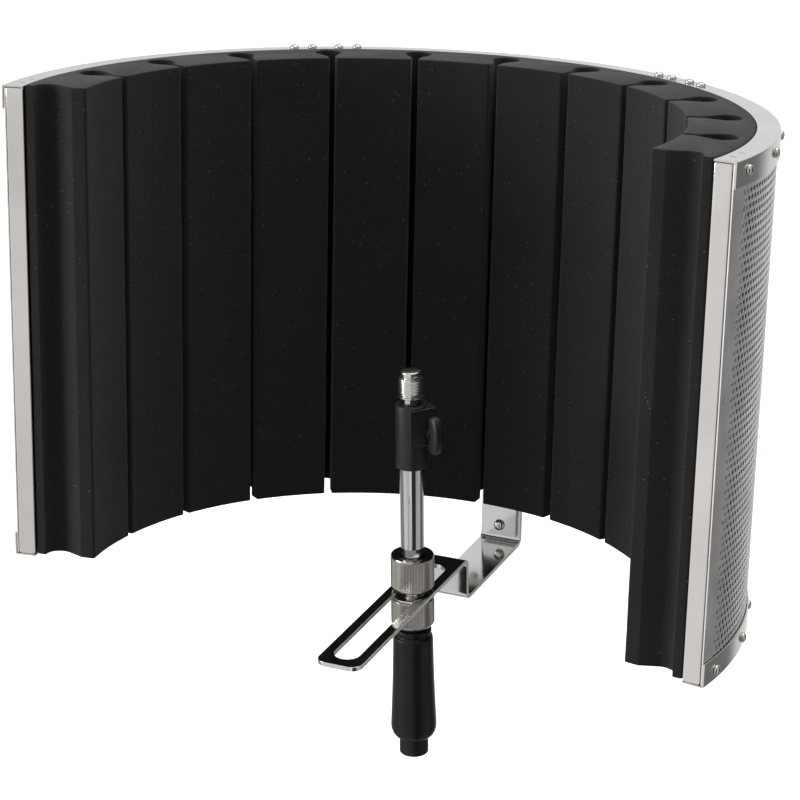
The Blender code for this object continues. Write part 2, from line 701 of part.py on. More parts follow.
def build_stand_top():
    """The stub of the stand, its twist clutch and the sliding inner tube."""
    stub = ring(STUB_BORE, STUB_RADIUS, 0, STUB_TOP)
    add("stub_tube", turned_mesh("stub_tube", stub, 28, closed=True), SATIN_BLACK)
    collet = [
        (INNER_TUBE_RADIUS + CLEAR, COLLET_BOTTOM),
        (STUB_RADIUS, COLLET_BOTTOM),
        (STUB_RADIUS, COLLET_TOP - 4 * MM),
        (STUB_RADIUS - 0.7 * MM, COLLET_TOP),
        (INNER_TUBE_RADIUS + CLEAR, COLLET_TOP),
    ]
    add("clutch_collet", turned_mesh("clutch_collet", collet, 24, closed=True), FELT_GREY)
    bore = STUB_RADIUS + CLEAR
    neck = INNER_TUBE_RADIUS + 0.5 * MM
    round_bottom = []
    for i in range(5):
        turn = pi / 2 * i / 4
        reach = GRIP_WIDE - STUB_RADIUS - 1.0 * MM
        drop = GRIP_WIDE_Z - GRIP_BOTTOM
        round_bottom.append((STUB_RADIUS + 1.0 * MM + reach * sin(turn), GRIP_WIDE_Z - drop * cos(turn)))
    grip = [(bore, GRIP_BOTTOM)] + round_bottom
    grip += [
        (GRIP_WIDE - 0.1 * MM, GRIP_WIDE_Z + 8 * MM),
        (GRIP_SHOULDER + 0.5 * MM, GRIP_SHOULDER_Z - 12 * MM),
        (GRIP_SHOULDER, GRIP_SHOULDER_Z - 1.2 * MM),
        (GRIP_SHOULDER - 1.0 * MM, GRIP_SHOULDER_Z),
        (GRIP_RING - 0.9 * MM, GRIP_SHOULDER_Z + 0.1 * MM),
        (GRIP_RING - 0.9 * MM, GRIP_SHOULDER_Z + 1.6 * MM),
        (GRIP_RING, GRIP_SHOULDER_Z + 2.2 * MM),
        (GRIP_RING, GRIP_TOP - 0.8 * MM),
        (GRIP_RING - 0.8 * MM, GRIP_TOP),
        (neck, GRIP_TOP),
        (neck, COLLET_TOP + 1.0 * MM),
        (bore, COLLET_TOP + 1.0 * MM),
    ]
    add("clutch_grip", turned_mesh("clutch_grip", grip, 32, closed=True), SATIN_BLACK)
    tube_top = LOWER_NUT_BOTTOM - 2 * CLEAR
    tube = ring(INNER_TUBE_BORE, INNER_TUBE_RADIUS, INNER_TUBE_BOTTOM, tube_top)
    add("inner_tube", turned_mesh("inner_tube", tube, 24, closed=True), CHROME)
    spigot = INNER_TUBE_BORE - CLEAR
    stem = [
        (0, tube_top - 20 * MM),
        (spigot, tube_top - 20 * MM),
        (spigot, tube_top - 2 * MM),
        (STEM_RADIUS, tube_top - 1 * MM),
        (STEM_RADIUS, STEM_TOP - 1 * MM),
        (STEM_RADIUS - 1 * MM, STEM_TOP),
        (0, STEM_TOP),
    ]
    add("threaded_stem", turned_mesh("threaded_stem", stem, 20), CHROME)


def build_clamp():
    """Two knurled nuts and a washer that pinch the slotted plate."""
    lower = [
        (NUT_BORE, LOWER_NUT_BOTTOM),
        (NUT_RADIUS - 2.6 * MM, LOWER_NUT_BOTTOM),
        (NUT_RADIUS, LOWER_NUT_BOTTOM + 3.4 * MM),
        (NUT_RADIUS, LOWER_NUT_TOP - 0.6 * MM),
        (NUT_RADIUS - 0.6 * MM, LOWER_NUT_TOP),
        (NUT_BORE, LOWER_NUT_TOP),
    ]
    add("lower_knurled_nut", turned_mesh("lower_knurled_nut", lower, 36, closed=True), KNURLED_NICKEL)
    washer = ring(NUT_BORE, WASHER_RADIUS, WASHER_BOTTOM, WASHER_TOP)
    add("clamp_washer", turned_mesh("clamp_washer", washer, 28, closed=True), SCREW_PLATE)
    upper = [
        (NUT_BORE, UPPER_NUT_BOTTOM),
        (NUT_RADIUS - 0.8 * MM, UPPER_NUT_BOTTOM),
        (NUT_RADIUS, UPPER_NUT_BOTTOM + 0.8 * MM),
        (NUT_RADIUS, UPPER_NUT_TOP - 0.6 * MM),
        (NUT_RADIUS - 0.6 * MM, UPPER_NUT_TOP),
        (TUBE_RADIUS + CLEAR, UPPER_NUT_TOP),
        (TUBE_RADIUS + CLEAR, UPPER_NUT_SHELF),
        (NUT_BORE, UPPER_NUT_SHELF),
    ]
    add("upper_knurled_nut", turned_mesh("upper_knurled_nut", upper, 36, closed=True), KNURLED_NICKEL)


def wing_matrix():
    """On the wing screw's axis: X out along the ear, Y up, Z along the screw towards its knob."""
    ear = Vector((cos(EAR_ANGLE), sin(EAR_ANGLE), 0))
    up = Vector((0, 0, 1))
    turn = Matrix((ear, up, ear.cross(up))).transposed().to_4x4()
    return Matrix.Translation(ear * WING_REACH + up * WING_HEIGHT) @ turn


def build_mic_post():
    """The extension tube, its clamp collar and the rod that carries the microphone's thread."""
    tube = ring(TUBE_BORE, TUBE_RADIUS, TUBE_BOTTOM, TUBE_TOP)
    add("extension_tube", turned_mesh("extension_tube", tube, 28, closed=True), CHROME)
    collar_profile = [
        (TUBE_RADIUS + CLEAR, COLLAR_BOTTOM),
        (COLLAR_RADIUS - 0.6 * MM, COLLAR_BOTTOM),
        (COLLAR_RADIUS, COLLAR_BOTTOM + 0.6 * MM),
        (COLLAR_RADIUS, COLLAR_TOP - 0.8 * MM),
        (COLLAR_RADIUS - 0.8 * MM, COLLAR_TOP),
        (ROD_BORE, COLLAR_TOP),
        (ROD_BORE, COLLAR_SHELF),
        (TUBE_RADIUS + CLEAR, COLLAR_SHELF),
    ]
    collar = add("clamp_collar", turned_mesh("clamp_collar", collar_profile, 28, closed=True), SATIN_BLACK)
    turn = Matrix.Rotation(EAR_ANGLE, 4, "Z")
    ear = box_mesh(
        "collar_ear",
        (EAR_BACK, -EAR_HALF_WIDTH, EAR_BOTTOM),
        (EAR_LENGTH, EAR_HALF_WIDTH, EAR_TOP),
    )
    ear.transform(turn)
    use_cutter(collar, ear, "UNION")
    drill(collar, [Matrix.Identity(4)], ROD_BORE + 0.2 * MM, EAR_BOTTOM - 0.8 * MM, COLLAR_TOP + 2 * MM)
    slit = box_mesh(
        "collar_slit",
        (ROD_BORE - 1 * MM, -EAR_SLIT / 2, EAR_BOTTOM - 0.5 * MM),
        (EAR_LENGTH + 2 * MM, EAR_SLIT / 2, COLLAR_TOP + 2 * MM),
    )
    slit.transform(turn)
    use_cutter(collar, slit)
    drill(collar, [wing_matrix()], WING_BORE, -EAR_HALF_WIDTH - 3 * MM, EAR_HALF_WIDTH + 3 * MM)
    rod = [
        (0, ROD_BOTTOM),
        (ROD_RADIUS, ROD_BOTTOM),
        (ROD_RADIUS, ROD_TOP),
        (0, ROD_TOP),
    ]
    add("mic_rod", turned_mesh("mic_rod", rod, 20), CHROME)
    adapter = [
        (ROD_RADIUS + CLEAR, THREAD_BOTTOM),
        (THREAD_RADIUS - 0.6 * MM, THREAD_BOTTOM),
        (THREAD_RADIUS, THREAD_BOTTOM + 0.6 * MM),
        (THREAD_RADIUS, THREAD_BOTTOM + 1.3 * MM),
        (THREAD_RADIUS - 0.9 * MM, THREAD_BOTTOM + 1.6 * MM),
        (THREAD_RADIUS - 0.9 * MM, THREAD_BOTTOM + 2.3 * MM),
        (THREAD_RADIUS, THREAD_BOTTOM + 2.8 * MM),
        (THREAD_RADIUS, THREAD_TOP - 0.8 * MM),
        (THREAD_RADIUS - 0.8 * MM, THREAD_TOP),
        (TIP_RADIUS, THREAD_TOP),
        (TIP_RADIUS, TIP_TOP - 0.5 * MM),
        (TIP_RADIUS - 0.5 * MM, TIP_TOP),
        (0, TIP_TOP),
        (0, ROD_TOP + CLEAR),
        (ROD_RADIUS + CLEAR, ROD_TOP + CLEAR),
    ]
    # The bore is blind: the profile closes along the axis only between the rod's end and the tip.
    add("thread_adapter", turned_mesh("thread_adapter", adapter[13:] + adapter[:13], 28), SCREW_PLATE)


def build_wing_screw():
    """A plastic knob, a flat oval wing on a short hub, moulded on a steel screw through both ears."""
    low = EAR_HALF_WIDTH + 0.5 * MM
    half = acos((WING_START - WING_CENTRE) / WING_HALF_LENGTH)
    turns = [-half + 2 * half * i / 22 for i in range(23)]
    outline = [(-WING_CENTRE - WING_HALF_LENGTH * cos(t), WING_HALF_HEIGHT * sin(t)) for t in turns]
    knob_mesh = prism_mesh("wing_knob", outline, -WING_HALF_THICKNESS, WING_HALF_THICKNESS)
    knob_mesh.transform(Matrix.Rotation(pi / 2, 4, "Y"))
    knob = add("wing_knob", knob_mesh, SATIN_BLACK, None, wing_matrix())
    hub = bmesh.new()
    peg(hub, Matrix.Identity(4), WING_HUB_RADIUS, low, WING_START + 2 * MM, 18)
    use_cutter(knob, finish_mesh(hub, "wing_knob_hub"), "UNION")
    drill(knob, [Matrix.Identity(4)], WING_BORE, low - 2 * MM, WING_CENTRE + 1.3 * MM)
    screw_profile = [
        (0, -EAR_HALF_WIDTH - 1.4 * MM),
        (WING_SCREW_RADIUS, -EAR_HALF_WIDTH - 1.4 * MM),
        (WING_SCREW_RADIUS, WING_CENTRE + 1 * MM),
        (0, WING_CENTRE + 1 * MM),
    ]
    add("wing_screw", turned_mesh("wing_screw", screw_profile, 14), SCREW_PLATE, None, wing_matrix())


build_layers()
build_foam()
build_rails()
build_splices()
build_channels()
build_frame_screws()
build_hanger()
build_bar()
build_hanger_fixings()
build_stand_top()
build_clamp()
build_mic_post()
build_wing_screw()
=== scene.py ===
from math import acos, atan2, ceil, cos, pi, radians, sin, sqrt

import bmesh
import bpy
import numpy as np
from mathutils import Matrix, Vector, noise


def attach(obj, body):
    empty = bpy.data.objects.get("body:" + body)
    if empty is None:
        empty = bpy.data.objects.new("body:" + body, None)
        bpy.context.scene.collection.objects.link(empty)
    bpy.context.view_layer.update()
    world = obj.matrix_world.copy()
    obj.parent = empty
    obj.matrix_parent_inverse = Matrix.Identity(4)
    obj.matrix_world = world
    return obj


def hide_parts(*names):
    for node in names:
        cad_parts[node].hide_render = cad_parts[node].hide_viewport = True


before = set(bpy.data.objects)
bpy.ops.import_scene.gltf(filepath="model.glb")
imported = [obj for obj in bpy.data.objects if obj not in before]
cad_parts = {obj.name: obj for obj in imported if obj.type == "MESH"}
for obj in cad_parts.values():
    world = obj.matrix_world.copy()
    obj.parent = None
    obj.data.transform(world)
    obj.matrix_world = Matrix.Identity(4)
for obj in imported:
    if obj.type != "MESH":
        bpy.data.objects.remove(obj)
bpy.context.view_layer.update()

MM = 0.001
# The shield's own frame, upright on its own axis, put in the world: it leans back from the post.
S = Matrix.Translation((0, -67.9 * MM, 144.7 * MM)) @ Matrix.Rotation(-radians(4.26), 4, "X")
HALF_ANGLE = radians(100.3)
HEIGHT = 300 * MM
OUTER = 231.1 * MM
SHEET = 1.0 * MM


# ---------------------------------------------------------------- materials


def map_range(tree, value, low, high, to_low=0, to_high=1):
    """value with low to high spread over to_low to to_high."""
    node = tree.nodes.new("ShaderNodeMapRange")
    tree.links.new(value, node.inputs["Value"])
    limits = {"From Min": low, "From Max": high, "To Min": to_low, "To Max": to_high}
    for name, limit in limits.items():
        node.inputs[name].default_value = limit
    return node.outputs["Result"]


class Nodes:
    """A material's node tree with short calls for what the materials below need."""

    def __init__(self, name, colour, roughness, metallic):
        self.material = bpy.data.materials.new(name)
        self.material.use_nodes = True
        self.tree = self.material.node_tree
        self.shader = self.tree.nodes["Principled BSDF"]
        self.shader.inputs["Base Color"].default_value = (*colour, 1)
        self.shader.inputs["Roughness"].default_value = roughness
        self.shader.inputs["Metallic"].default_value = metallic
        self.material.diffuse_color = (*colour, 1)
        self.coords = self.tree.nodes.new("ShaderNodeTexCoord")
        self.height = None

    def link(self, output, target):
        self.tree.links.new(output, target)

    def put(self, value, target):
        if isinstance(value, bpy.types.NodeSocket):
            self.link(value, target)
        else:
            target.default_value = value

    def space(self, scale=(1, 1, 1), rotation=(0, 0, 0)):
        mapping = self.tree.nodes.new("ShaderNodeMapping")
        mapping.inputs["Scale"].default_value = scale
        mapping.inputs["Rotation"].default_value = rotation
        self.link(self.coords.outputs["Object"], mapping.inputs["Vector"])
        return mapping.outputs["Vector"]

    def noise(self, scale, detail=3, rough=0.5, stretch=(1, 1, 1), rotation=(0, 0, 0)):
        node = self.tree.nodes.new("ShaderNodeTexNoise")
        node.inputs["Scale"].default_value = scale
        node.inputs["Detail"].default_value = detail
        node.inputs["Roughness"].default_value = rough
        self.link(self.space(stretch, rotation), node.inputs["Vector"])
        return node.outputs["Fac"]

    def cells(self, scale):
        node = self.tree.nodes.new("ShaderNodeTexVoronoi")
        node.inputs["Scale"].default_value = scale
        self.link(self.space(), node.inputs["Vector"])
        return node

    def math(self, operation, a, b=0.5):
        node = self.tree.nodes.new("ShaderNodeMath")
        node.operation = operation
        self.put(a, node.inputs[0])
        self.put(b, node.inputs[1])
        return node.outputs[0]

    def span(self, value, low, high, to_low, to_high):
        return map_range(self.tree, value, low, high, to_low, to_high)

    def mix(self, factor, a, b):
        node = self.tree.nodes.new("ShaderNodeMix")
        node.data_type = "RGBA"
        # Sockets 6 and 7 are the colours A and B, and output 2 is their mix.
        for value, number in ((factor, 0), (a, 6), (b, 7)):
            self.put(value, node.inputs[number])
        return node.outputs[2]

    def bump(self, value, distance, strength=1.0):
        node = self.tree.nodes.new("ShaderNodeBump")
        node.inputs["Distance"].default_value = distance
        node.inputs["Strength"].default_value = strength
        self.link(value, node.inputs["Height"])
        if self.height:
            self.link(self.height, node.inputs["Normal"])
        self.height = node.outputs["Normal"]
        self.link(self.height, self.shader.inputs["Normal"])

    def colour(self, value):
        self.link(value, self.shader.inputs["Base Color"])

    def rough(self, value):
        self.link(value, self.shader.inputs["Roughness"])


def rgba(r, g, b):
    return (r, g, b, 1)


def foam_material():
    """Open-cell foam: a fine grain, and a few cells painted bright as painted highlights, where their walls would
    catch the light.
    """
    n = Nodes("foam_charcoal", (0.022, 0.022, 0.023), 0.95, 0.0)
    tone = n.noise(26, 4, 0.6)
    grain = n.noise(900, 3, 0.7)
    base = n.mix(n.span(tone, 0.3, 0.7, 0, 1), rgba(0.0062, 0.0062, 0.0063), rgba(0.0098, 0.0098, 0.0099))
    base = n.mix(n.span(grain, 0.35, 0.7, 0, 0.6), base, rgba(0.021, 0.021, 0.0213))
    # Painted highlights: a few rare cells get a bright base colour that stands in for cell walls catching the light.
    pores = n.cells(620)
    near = n.math("LESS_THAN", pores.outputs["Distance"], 0.22)
    split = n.tree.nodes.new("ShaderNodeSeparateColor")
    n.link(pores.outputs["Color"], split.inputs["Color"])
    painted_glint_cells = n.math("GREATER_THAN", split.outputs["Red"], 0.975)
    base = n.mix(n.math("MULTIPLY", near, painted_glint_cells), base, rgba(0.12, 0.12, 0.118))
    n.colour(base)
    n.shader.inputs["Sheen Weight"].default_value = 0.1
    n.shader.inputs["Sheen Roughness"].default_value = 0.6
    n.shader.inputs["Specular IOR Level"].default_value = 0.08
    n.bump(n.cells(1100).outputs["Distance"], 0.00035, 0.5)
    n.bump(n.noise(700, 4, 0.7), 0.0004, 0.4)
    return n.material


def felt_material():
    """Pressed felt with its fibres lying flat."""
    n = Nodes("felt_dark", (0.035, 0.035, 0.036), 0.95, 0.0)
    fibre = n.noise(500, 6, 0.75, (1, 1, 0.35))
    n.colour(n.mix(n.span(fibre, 0.3, 0.7, 0, 1), rgba(0.018, 0.018, 0.019), rgba(0.060, 0.060, 0.061)))
    n.bump(fibre, 0.0006, 0.7)
    return n.material


def metal(name, dark, light, roughness, grain=0.00001, smudge=0.05, stretch=(1, 1, 1)):
    """A plated metal: slow changes of tone, smudges in its gloss and very fine polishing marks."""
    n = Nodes(name, light, roughness, 1.0)
    tone = n.noise(14, 3, 0.5)
    n.colour(n.mix(n.span(tone, 0.3, 0.7, 0, 1), rgba(*dark), rgba(*light)))
    wear = n.noise(45, 5, 0.6)
    n.rough(n.span(wear, 0.3, 0.75, max(0.02, roughness - smudge / 2), roughness + smudge))
    n.bump(n.noise(320, 4, 0.65, stretch), grain, 0.6)
    return n


def bracket_material():
    """Bright plate whose sheared side edges are rougher than its polished faces."""
    n = metal("bracket_plate", (0.62, 0.61, 0.60), (0.74, 0.73, 0.72), 0.09, 0.000008, 0.06)
    split = n.tree.nodes.new("ShaderNodeSeparateXYZ")
    n.link(n.coords.outputs["Normal"], split.inputs["Vector"])
    side = n.math("GREATER_THAN", n.math("ABSOLUTE", split.outputs["X"]), 0.8)
    polished = n.span(n.noise(45, 5, 0.6), 0.3, 0.75, 0.06, 0.15)
    blend = n.tree.nodes.new("ShaderNodeMix")
    n.link(side, blend.inputs[0])
    n.link(polished, blend.inputs[2])
    blend.inputs[3].default_value = 0.36
    n.rough(blend.outputs[0])
    shear = n.noise(900, 2, 0.5, (0.1, 1, 0.08))
    n.bump(n.math("MULTIPLY", shear, side), 0.00012, 0.8)
    return n.material


def plastic(name, low, high, roughness, grain, specular):
    """A moulded or coated dark surface with a fine grain."""
    n = Nodes(name, low, roughness, 0.0)
    tone = n.noise(40, 4, 0.6)
    n.colour(n.mix(n.span(tone, 0.3, 0.7, 0, 1), rgba(*low), rgba(*high)))
    n.rough(n.span(n.noise(90, 4, 0.6), 0.3, 0.7, roughness - 0.05, roughness + 0.08))
    n.bump(n.noise(1500, 3, 0.6), grain, 0.5)
    n.shader.inputs["Specular IOR Level"].default_value = specular
    return n.material


FOAM = foam_material()
FELT = felt_material()
PLATE = metal("plated_frame", (0.68, 0.65, 0.63), (0.78, 0.75, 0.725), 0.13, 0.000012, 0.07).material
BRACKET = bracket_material()
PERFORATED = metal("perforated_plate", (0.82, 0.80, 0.78), (0.94, 0.92, 0.90), 0.28, 0.00002, 0.10).material
SHEET_METAL = metal("plain_sheet_satin", (0.45, 0.45, 0.45), (0.58, 0.58, 0.58), 0.38, 0.00002, 0.08).material
CHROME = metal("tube_polished", (0.50, 0.50, 0.505), (0.62, 0.62, 0.625), 0.06, 0.000005, 0.04).material
NICKEL = metal("nickel_knurled", (0.34, 0.32, 0.30), (0.50, 0.475, 0.45), 0.16, 0.00002, 0.10).material
THREAD = metal("nickel_thread", (0.52, 0.50, 0.47), (0.70, 0.68, 0.65), 0.22, 0.000006, 0.08).material
SCREW = metal("screw_plated", (0.50, 0.485, 0.46), (0.72, 0.70, 0.67), 0.15, 0.00002, 0.08).material
GRIP = plastic("grip_satin_black", (0.0075, 0.0075, 0.0078), (0.0105, 0.0105, 0.0108), 0.34, 0.00004, 0.2)
COLLAR = plastic("collar_satin_black", (0.0105, 0.0105, 0.0105), (0.0155, 0.0155, 0.0152), 0.42, 0.00005, 0.35)
COLLET = plastic("collet_grey", (0.05, 0.05, 0.05), (0.08, 0.08, 0.08), 0.5, 0.00004, 0.4)
STUB = plastic("stub_coat_black", (0.008, 0.008, 0.008), (0.012, 0.012, 0.012), 0.38, 0.00005, 0.2)


# ---------------------------------------------------------------- shapes


def to_mesh(bm, name, sharp=32, matrix=None):
    bmesh.ops.remove_doubles(bm, verts=bm.verts, dist=1e-7)
    bmesh.ops.recalc_face_normals(bm, faces=bm.faces)
    mesh = bpy.data.meshes.new(name)
    bm.to_mesh(mesh)
    bm.free()
    if matrix:
        mesh.transform(matrix)
    mesh.shade_smooth()
    mesh.set_sharp_from_angle(angle=radians(sharp))
    return mesh


def add_object(name, data):
    obj = bpy.data.objects.new(name, data)
    bpy.context.scene.collection.objects.link(obj)
    return obj


def paint(mesh, material):
    if mesh.materials:
        mesh.materials[0] = material
    else:
        mesh.materials.append(material)


def put(name, mesh, material, body, nodes=(), place=None):
    """A visual piece that rides on a body and stands for the CAD nodes named."""
    obj = add_object(name, mesh)
    paint(mesh, material)
    if place:
        obj.matrix_world = place
    if nodes:
        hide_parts(*nodes)
    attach(obj, body)
    return obj


def evaluated(obj, name):
    """The object's mesh with its modifiers applied. The object itself is removed."""
    graph = bpy.context.evaluated_depsgraph_get()
    mesh = bpy.data.meshes.new_from_object(obj.evaluated_get(graph), depsgraph=graph)
    mesh.name = name
    bpy.data.objects.remove(obj, do_unlink=True)
    return mesh


def combined(name, mesh, others, sharp=32):
    """mesh joined with or cut by others, a list of (operation, mesh), as one new mesh."""
    base = add_object(name + "_base", mesh)
    helpers = []
    for number, (operation, other) in enumerate(others):
        helper = add_object(f"{name}_{number}", other)
        helpers.append(helper)
        modifier = base.modifiers.new(operation.title(), "BOOLEAN")
        modifier.operation = operation
        modifier.solver = "EXACT"
        modifier.object = helper
    bpy.context.view_layer.update()
    result = evaluated(base, name)
    for helper in helpers:
        bpy.data.objects.remove(helper, do_unlink=True)
    result.shade_smooth()
    result.set_sharp_from_angle(angle=radians(sharp))
    return result


def add_bevel(obj, width):
    bevel = obj.modifiers.new("edges", "BEVEL")
    bevel.width = width
    bevel.segments = 2
    bevel.limit_method = "ANGLE"
    bevel.angle_limit = radians(40)
    obj.modifiers.new("flat", "WEIGHTED_NORMAL").keep_sharp = False


def scaled(rows):
    """Rows that start with a radius and a height in millimetres, with those two in metres."""
    return [(r * MM, z * MM, *rest) for r, z, *rest in rows]


def lathe(name, profile, segments=96, closed=True, sharp=32):
    """A (radius, height) profile spun round the Z axis. An open profile ends on the axis."""
    bm = bmesh.new()
    verts = [bm.verts.new((r, 0, z)) for r, z in profile]
    edges = [bm.edges.new(pair) for pair in zip(verts, verts[1:])]
    if closed:
        edges.append(bm.edges.new((verts[-1], verts[0])))
    bmesh.ops.spin(
        bm, geom=verts + edges, cent=(0, 0, 0), axis=(0, 0, 1), angle=2 * pi, steps=segments, use_merge=True
    )
    return to_mesh(bm, name, sharp)


def on_arc(angle, radius):
    """The point at this angle from the back of the shield, clockwise as seen from above."""
    return (radius * sin(angle), radius * cos(angle))


def angle_of(point):
    return atan2(point[0], point[1])


def arc_points(radius, start, end, step):
    count = max(1, ceil(abs(end - start) / step))
    return [on_arc(start + (end - start) * i / count, radius) for i in range(count + 1)]


def sweep(name, section, start, end):
    """A closed section of (radius, height) points swept round the shield's axis."""
    bm = bmesh.new()
    verts = [bm.verts.new((r * sin(start), r * cos(start), z)) for r, z in section]
    face = bm.faces.new(verts)
    bmesh.ops.spin(
        bm,
        geom=verts + list(face.edges) + [face],
        cent=(0, 0, 0),
        axis=(0, 0, 1),
        angle=start - end,
        steps=max(1, round((end - start) / radians(0.8))),
    )
    return to_mesh(bm, name, 32, S)


def prism(name, outline, low, high):
    """An (x, y) outline extruded from low to high."""
    bm = bmesh.new()
    face = bm.faces.new([bm.verts.new((x, y, low)) for x, y in outline])
    top = bmesh.ops.extrude_face_region(bm, geom=[face])
    verts = [item for item in top["geom"] if isinstance(item, bmesh.types.BMVert)]
    bmesh.ops.translate(bm, verts=verts, vec=(0, 0, high - low))
    return to_mesh(bm, name, 32)


def box(name, low, high, matrix=None, bevel=0.0, segments=3):
    bm = bmesh.new()
    size = Vector(high) - Vector(low)
    middle = (Vector(high) + Vector(low)) / 2
    bmesh.ops.create_cube(bm, size=1, matrix=Matrix.Translation(middle) @ Matrix.Diagonal((*size, 1)))
    if bevel:
        bmesh.ops.bevel(bm, geom=list(bm.edges), offset=bevel, segments=segments, profile=0.5, affect="EDGES")
    return to_mesh(bm, name, 32, matrix)


def rounded(points, radii, steps=4):
    """A closed polygon with each corner turned into an arc of its own radius. 0 leaves the corner sharp."""
    result = []
    count = len(points)
    for i, point in enumerate(points):
        radius = radii[i] if isinstance(radii, (list, tuple)) else radii
        here = Vector(point)
        before = Vector(points[i - 1]) - here
        after = Vector(points[(i + 1) % count]) - here
        turn = pi - before.angle(after) if before.length > 1e-9 and after.length > 1e-9 else 0
        if radius <= 0 or turn < radians(20):
            result.append(tuple(here))
            continue
        trim = min(radius * abs(sin(turn / 2) / cos(turn / 2)), before.length * 0.45, after.length * 0.45)
        first = here + before.normalized() * trim
        last = here + after.normalized() * trim
        for k in range(steps + 1):
            t = k / steps
            result.append(tuple((1 - t) ** 2 * first + 2 * t * (1 - t) * here + t**2 * last))
    return result


def resampled(points, longest):
    """The closed polygon with its sides divided until none is longer than this."""
    result = []
    for a, b in zip(points, points[1:] + points[:1]):
        a, b = Vector(a), Vector(b)
        count = max(1, ceil((b - a).length / longest))
        result += [tuple(a.lerp(b, k / count)) for k in range(count)]
    return result


def bridged(rings, closed=False, caps=True):
    """Quads between rings of points of equal length. Caps the first and last unless the rings close on themselves."""
    bm = bmesh.new()
    made = [[bm.verts.new(point) for point in ring] for ring in rings]
    pairs = list(zip(made, made[1:])) + ([(made[-1], made[0])] if closed else [])
    for low, high in pairs:
        for k in range(len(low)):
            bm.faces.new((low[k - 1], low[k], high[k], high[k - 1]))
    if caps and not closed:
        bm.faces.new(made[0][::-1])
        bm.faces.new(made[-1])
    return bm


# ---------------------------------------------------------------- foam

FOAM_FRONT = 178.7 * MM
FOAM_BACK = 217.0 * MM
FOAM_LOW, FOAM_HIGH = 1.5 * MM, 300.5 * MM
FOAM_END = radians(100.0)
SLOT_PITCH = radians(16.84)
SLOT_NECK = 9.0 * MM
HOLE_RADIUS = 8.5 * MM
HOLE_DEPTH = 23.4 * MM


def slot_walk(half):
    """A slot with a round hole at its root, as (across, depth) from the middle of its mouth."""
    reach = HOLE_DEPTH - SLOT_NECK
    apex = sqrt(reach**2 + half**2)
    tangent = atan2(half, reach) + acos(HOLE_RADIUS / apex)
    steps = 28
    hole = []
    for i in range(steps + 1):
        turn = tangent + (2 * pi - 2 * tangent) * i / steps
        hole.append((-HOLE_RADIUS * sin(turn), HOLE_DEPTH - HOLE_RADIUS * cos(turn)))
    return [(-half, 0), (-half, SLOT_NECK)] + hole + [(half, SLOT_NECK), (half, 0)]


def foam_point(centre, across, depth):
    """The point this far across a slot's middle line and this deep behind the foam's front."""
    radius = FOAM_FRONT + depth
    return (radius * sin(centre) + across * cos(centre), radius * cos(centre) - across * sin(centre))


def foam_outline():
    """The lining seen from above, from its left end round the front, with the slots, and back round the rear."""

    def slot(index):
        half = (5.2 - 0.35 * abs(index)) * MM / 2
        return [foam_point(index * SLOT_PITCH, across, depth) for across, depth in slot_walk(half)]

    def end(side):
        walk = slot_walk(1.9 * MM)
        walk = walk[: (len(walk) + 1) // 2]
        return [foam_point(side * radians(100.1), side * across, depth) for across, depth in walk]

    walls = [end(-1)[::-1]] + [slot(index) for index in range(-5, 6)] + [end(1)]
    outline = []
    for left, right in zip(walls, walls[1:]):
        outline += left + arc_points(FOAM_FRONT, angle_of(left[-1]), angle_of(right[0]), radians(1.2))[1:-1]
    return outline + walls[-1] + arc_points(FOAM_BACK, FOAM_END, -FOAM_END, radians(1.0))


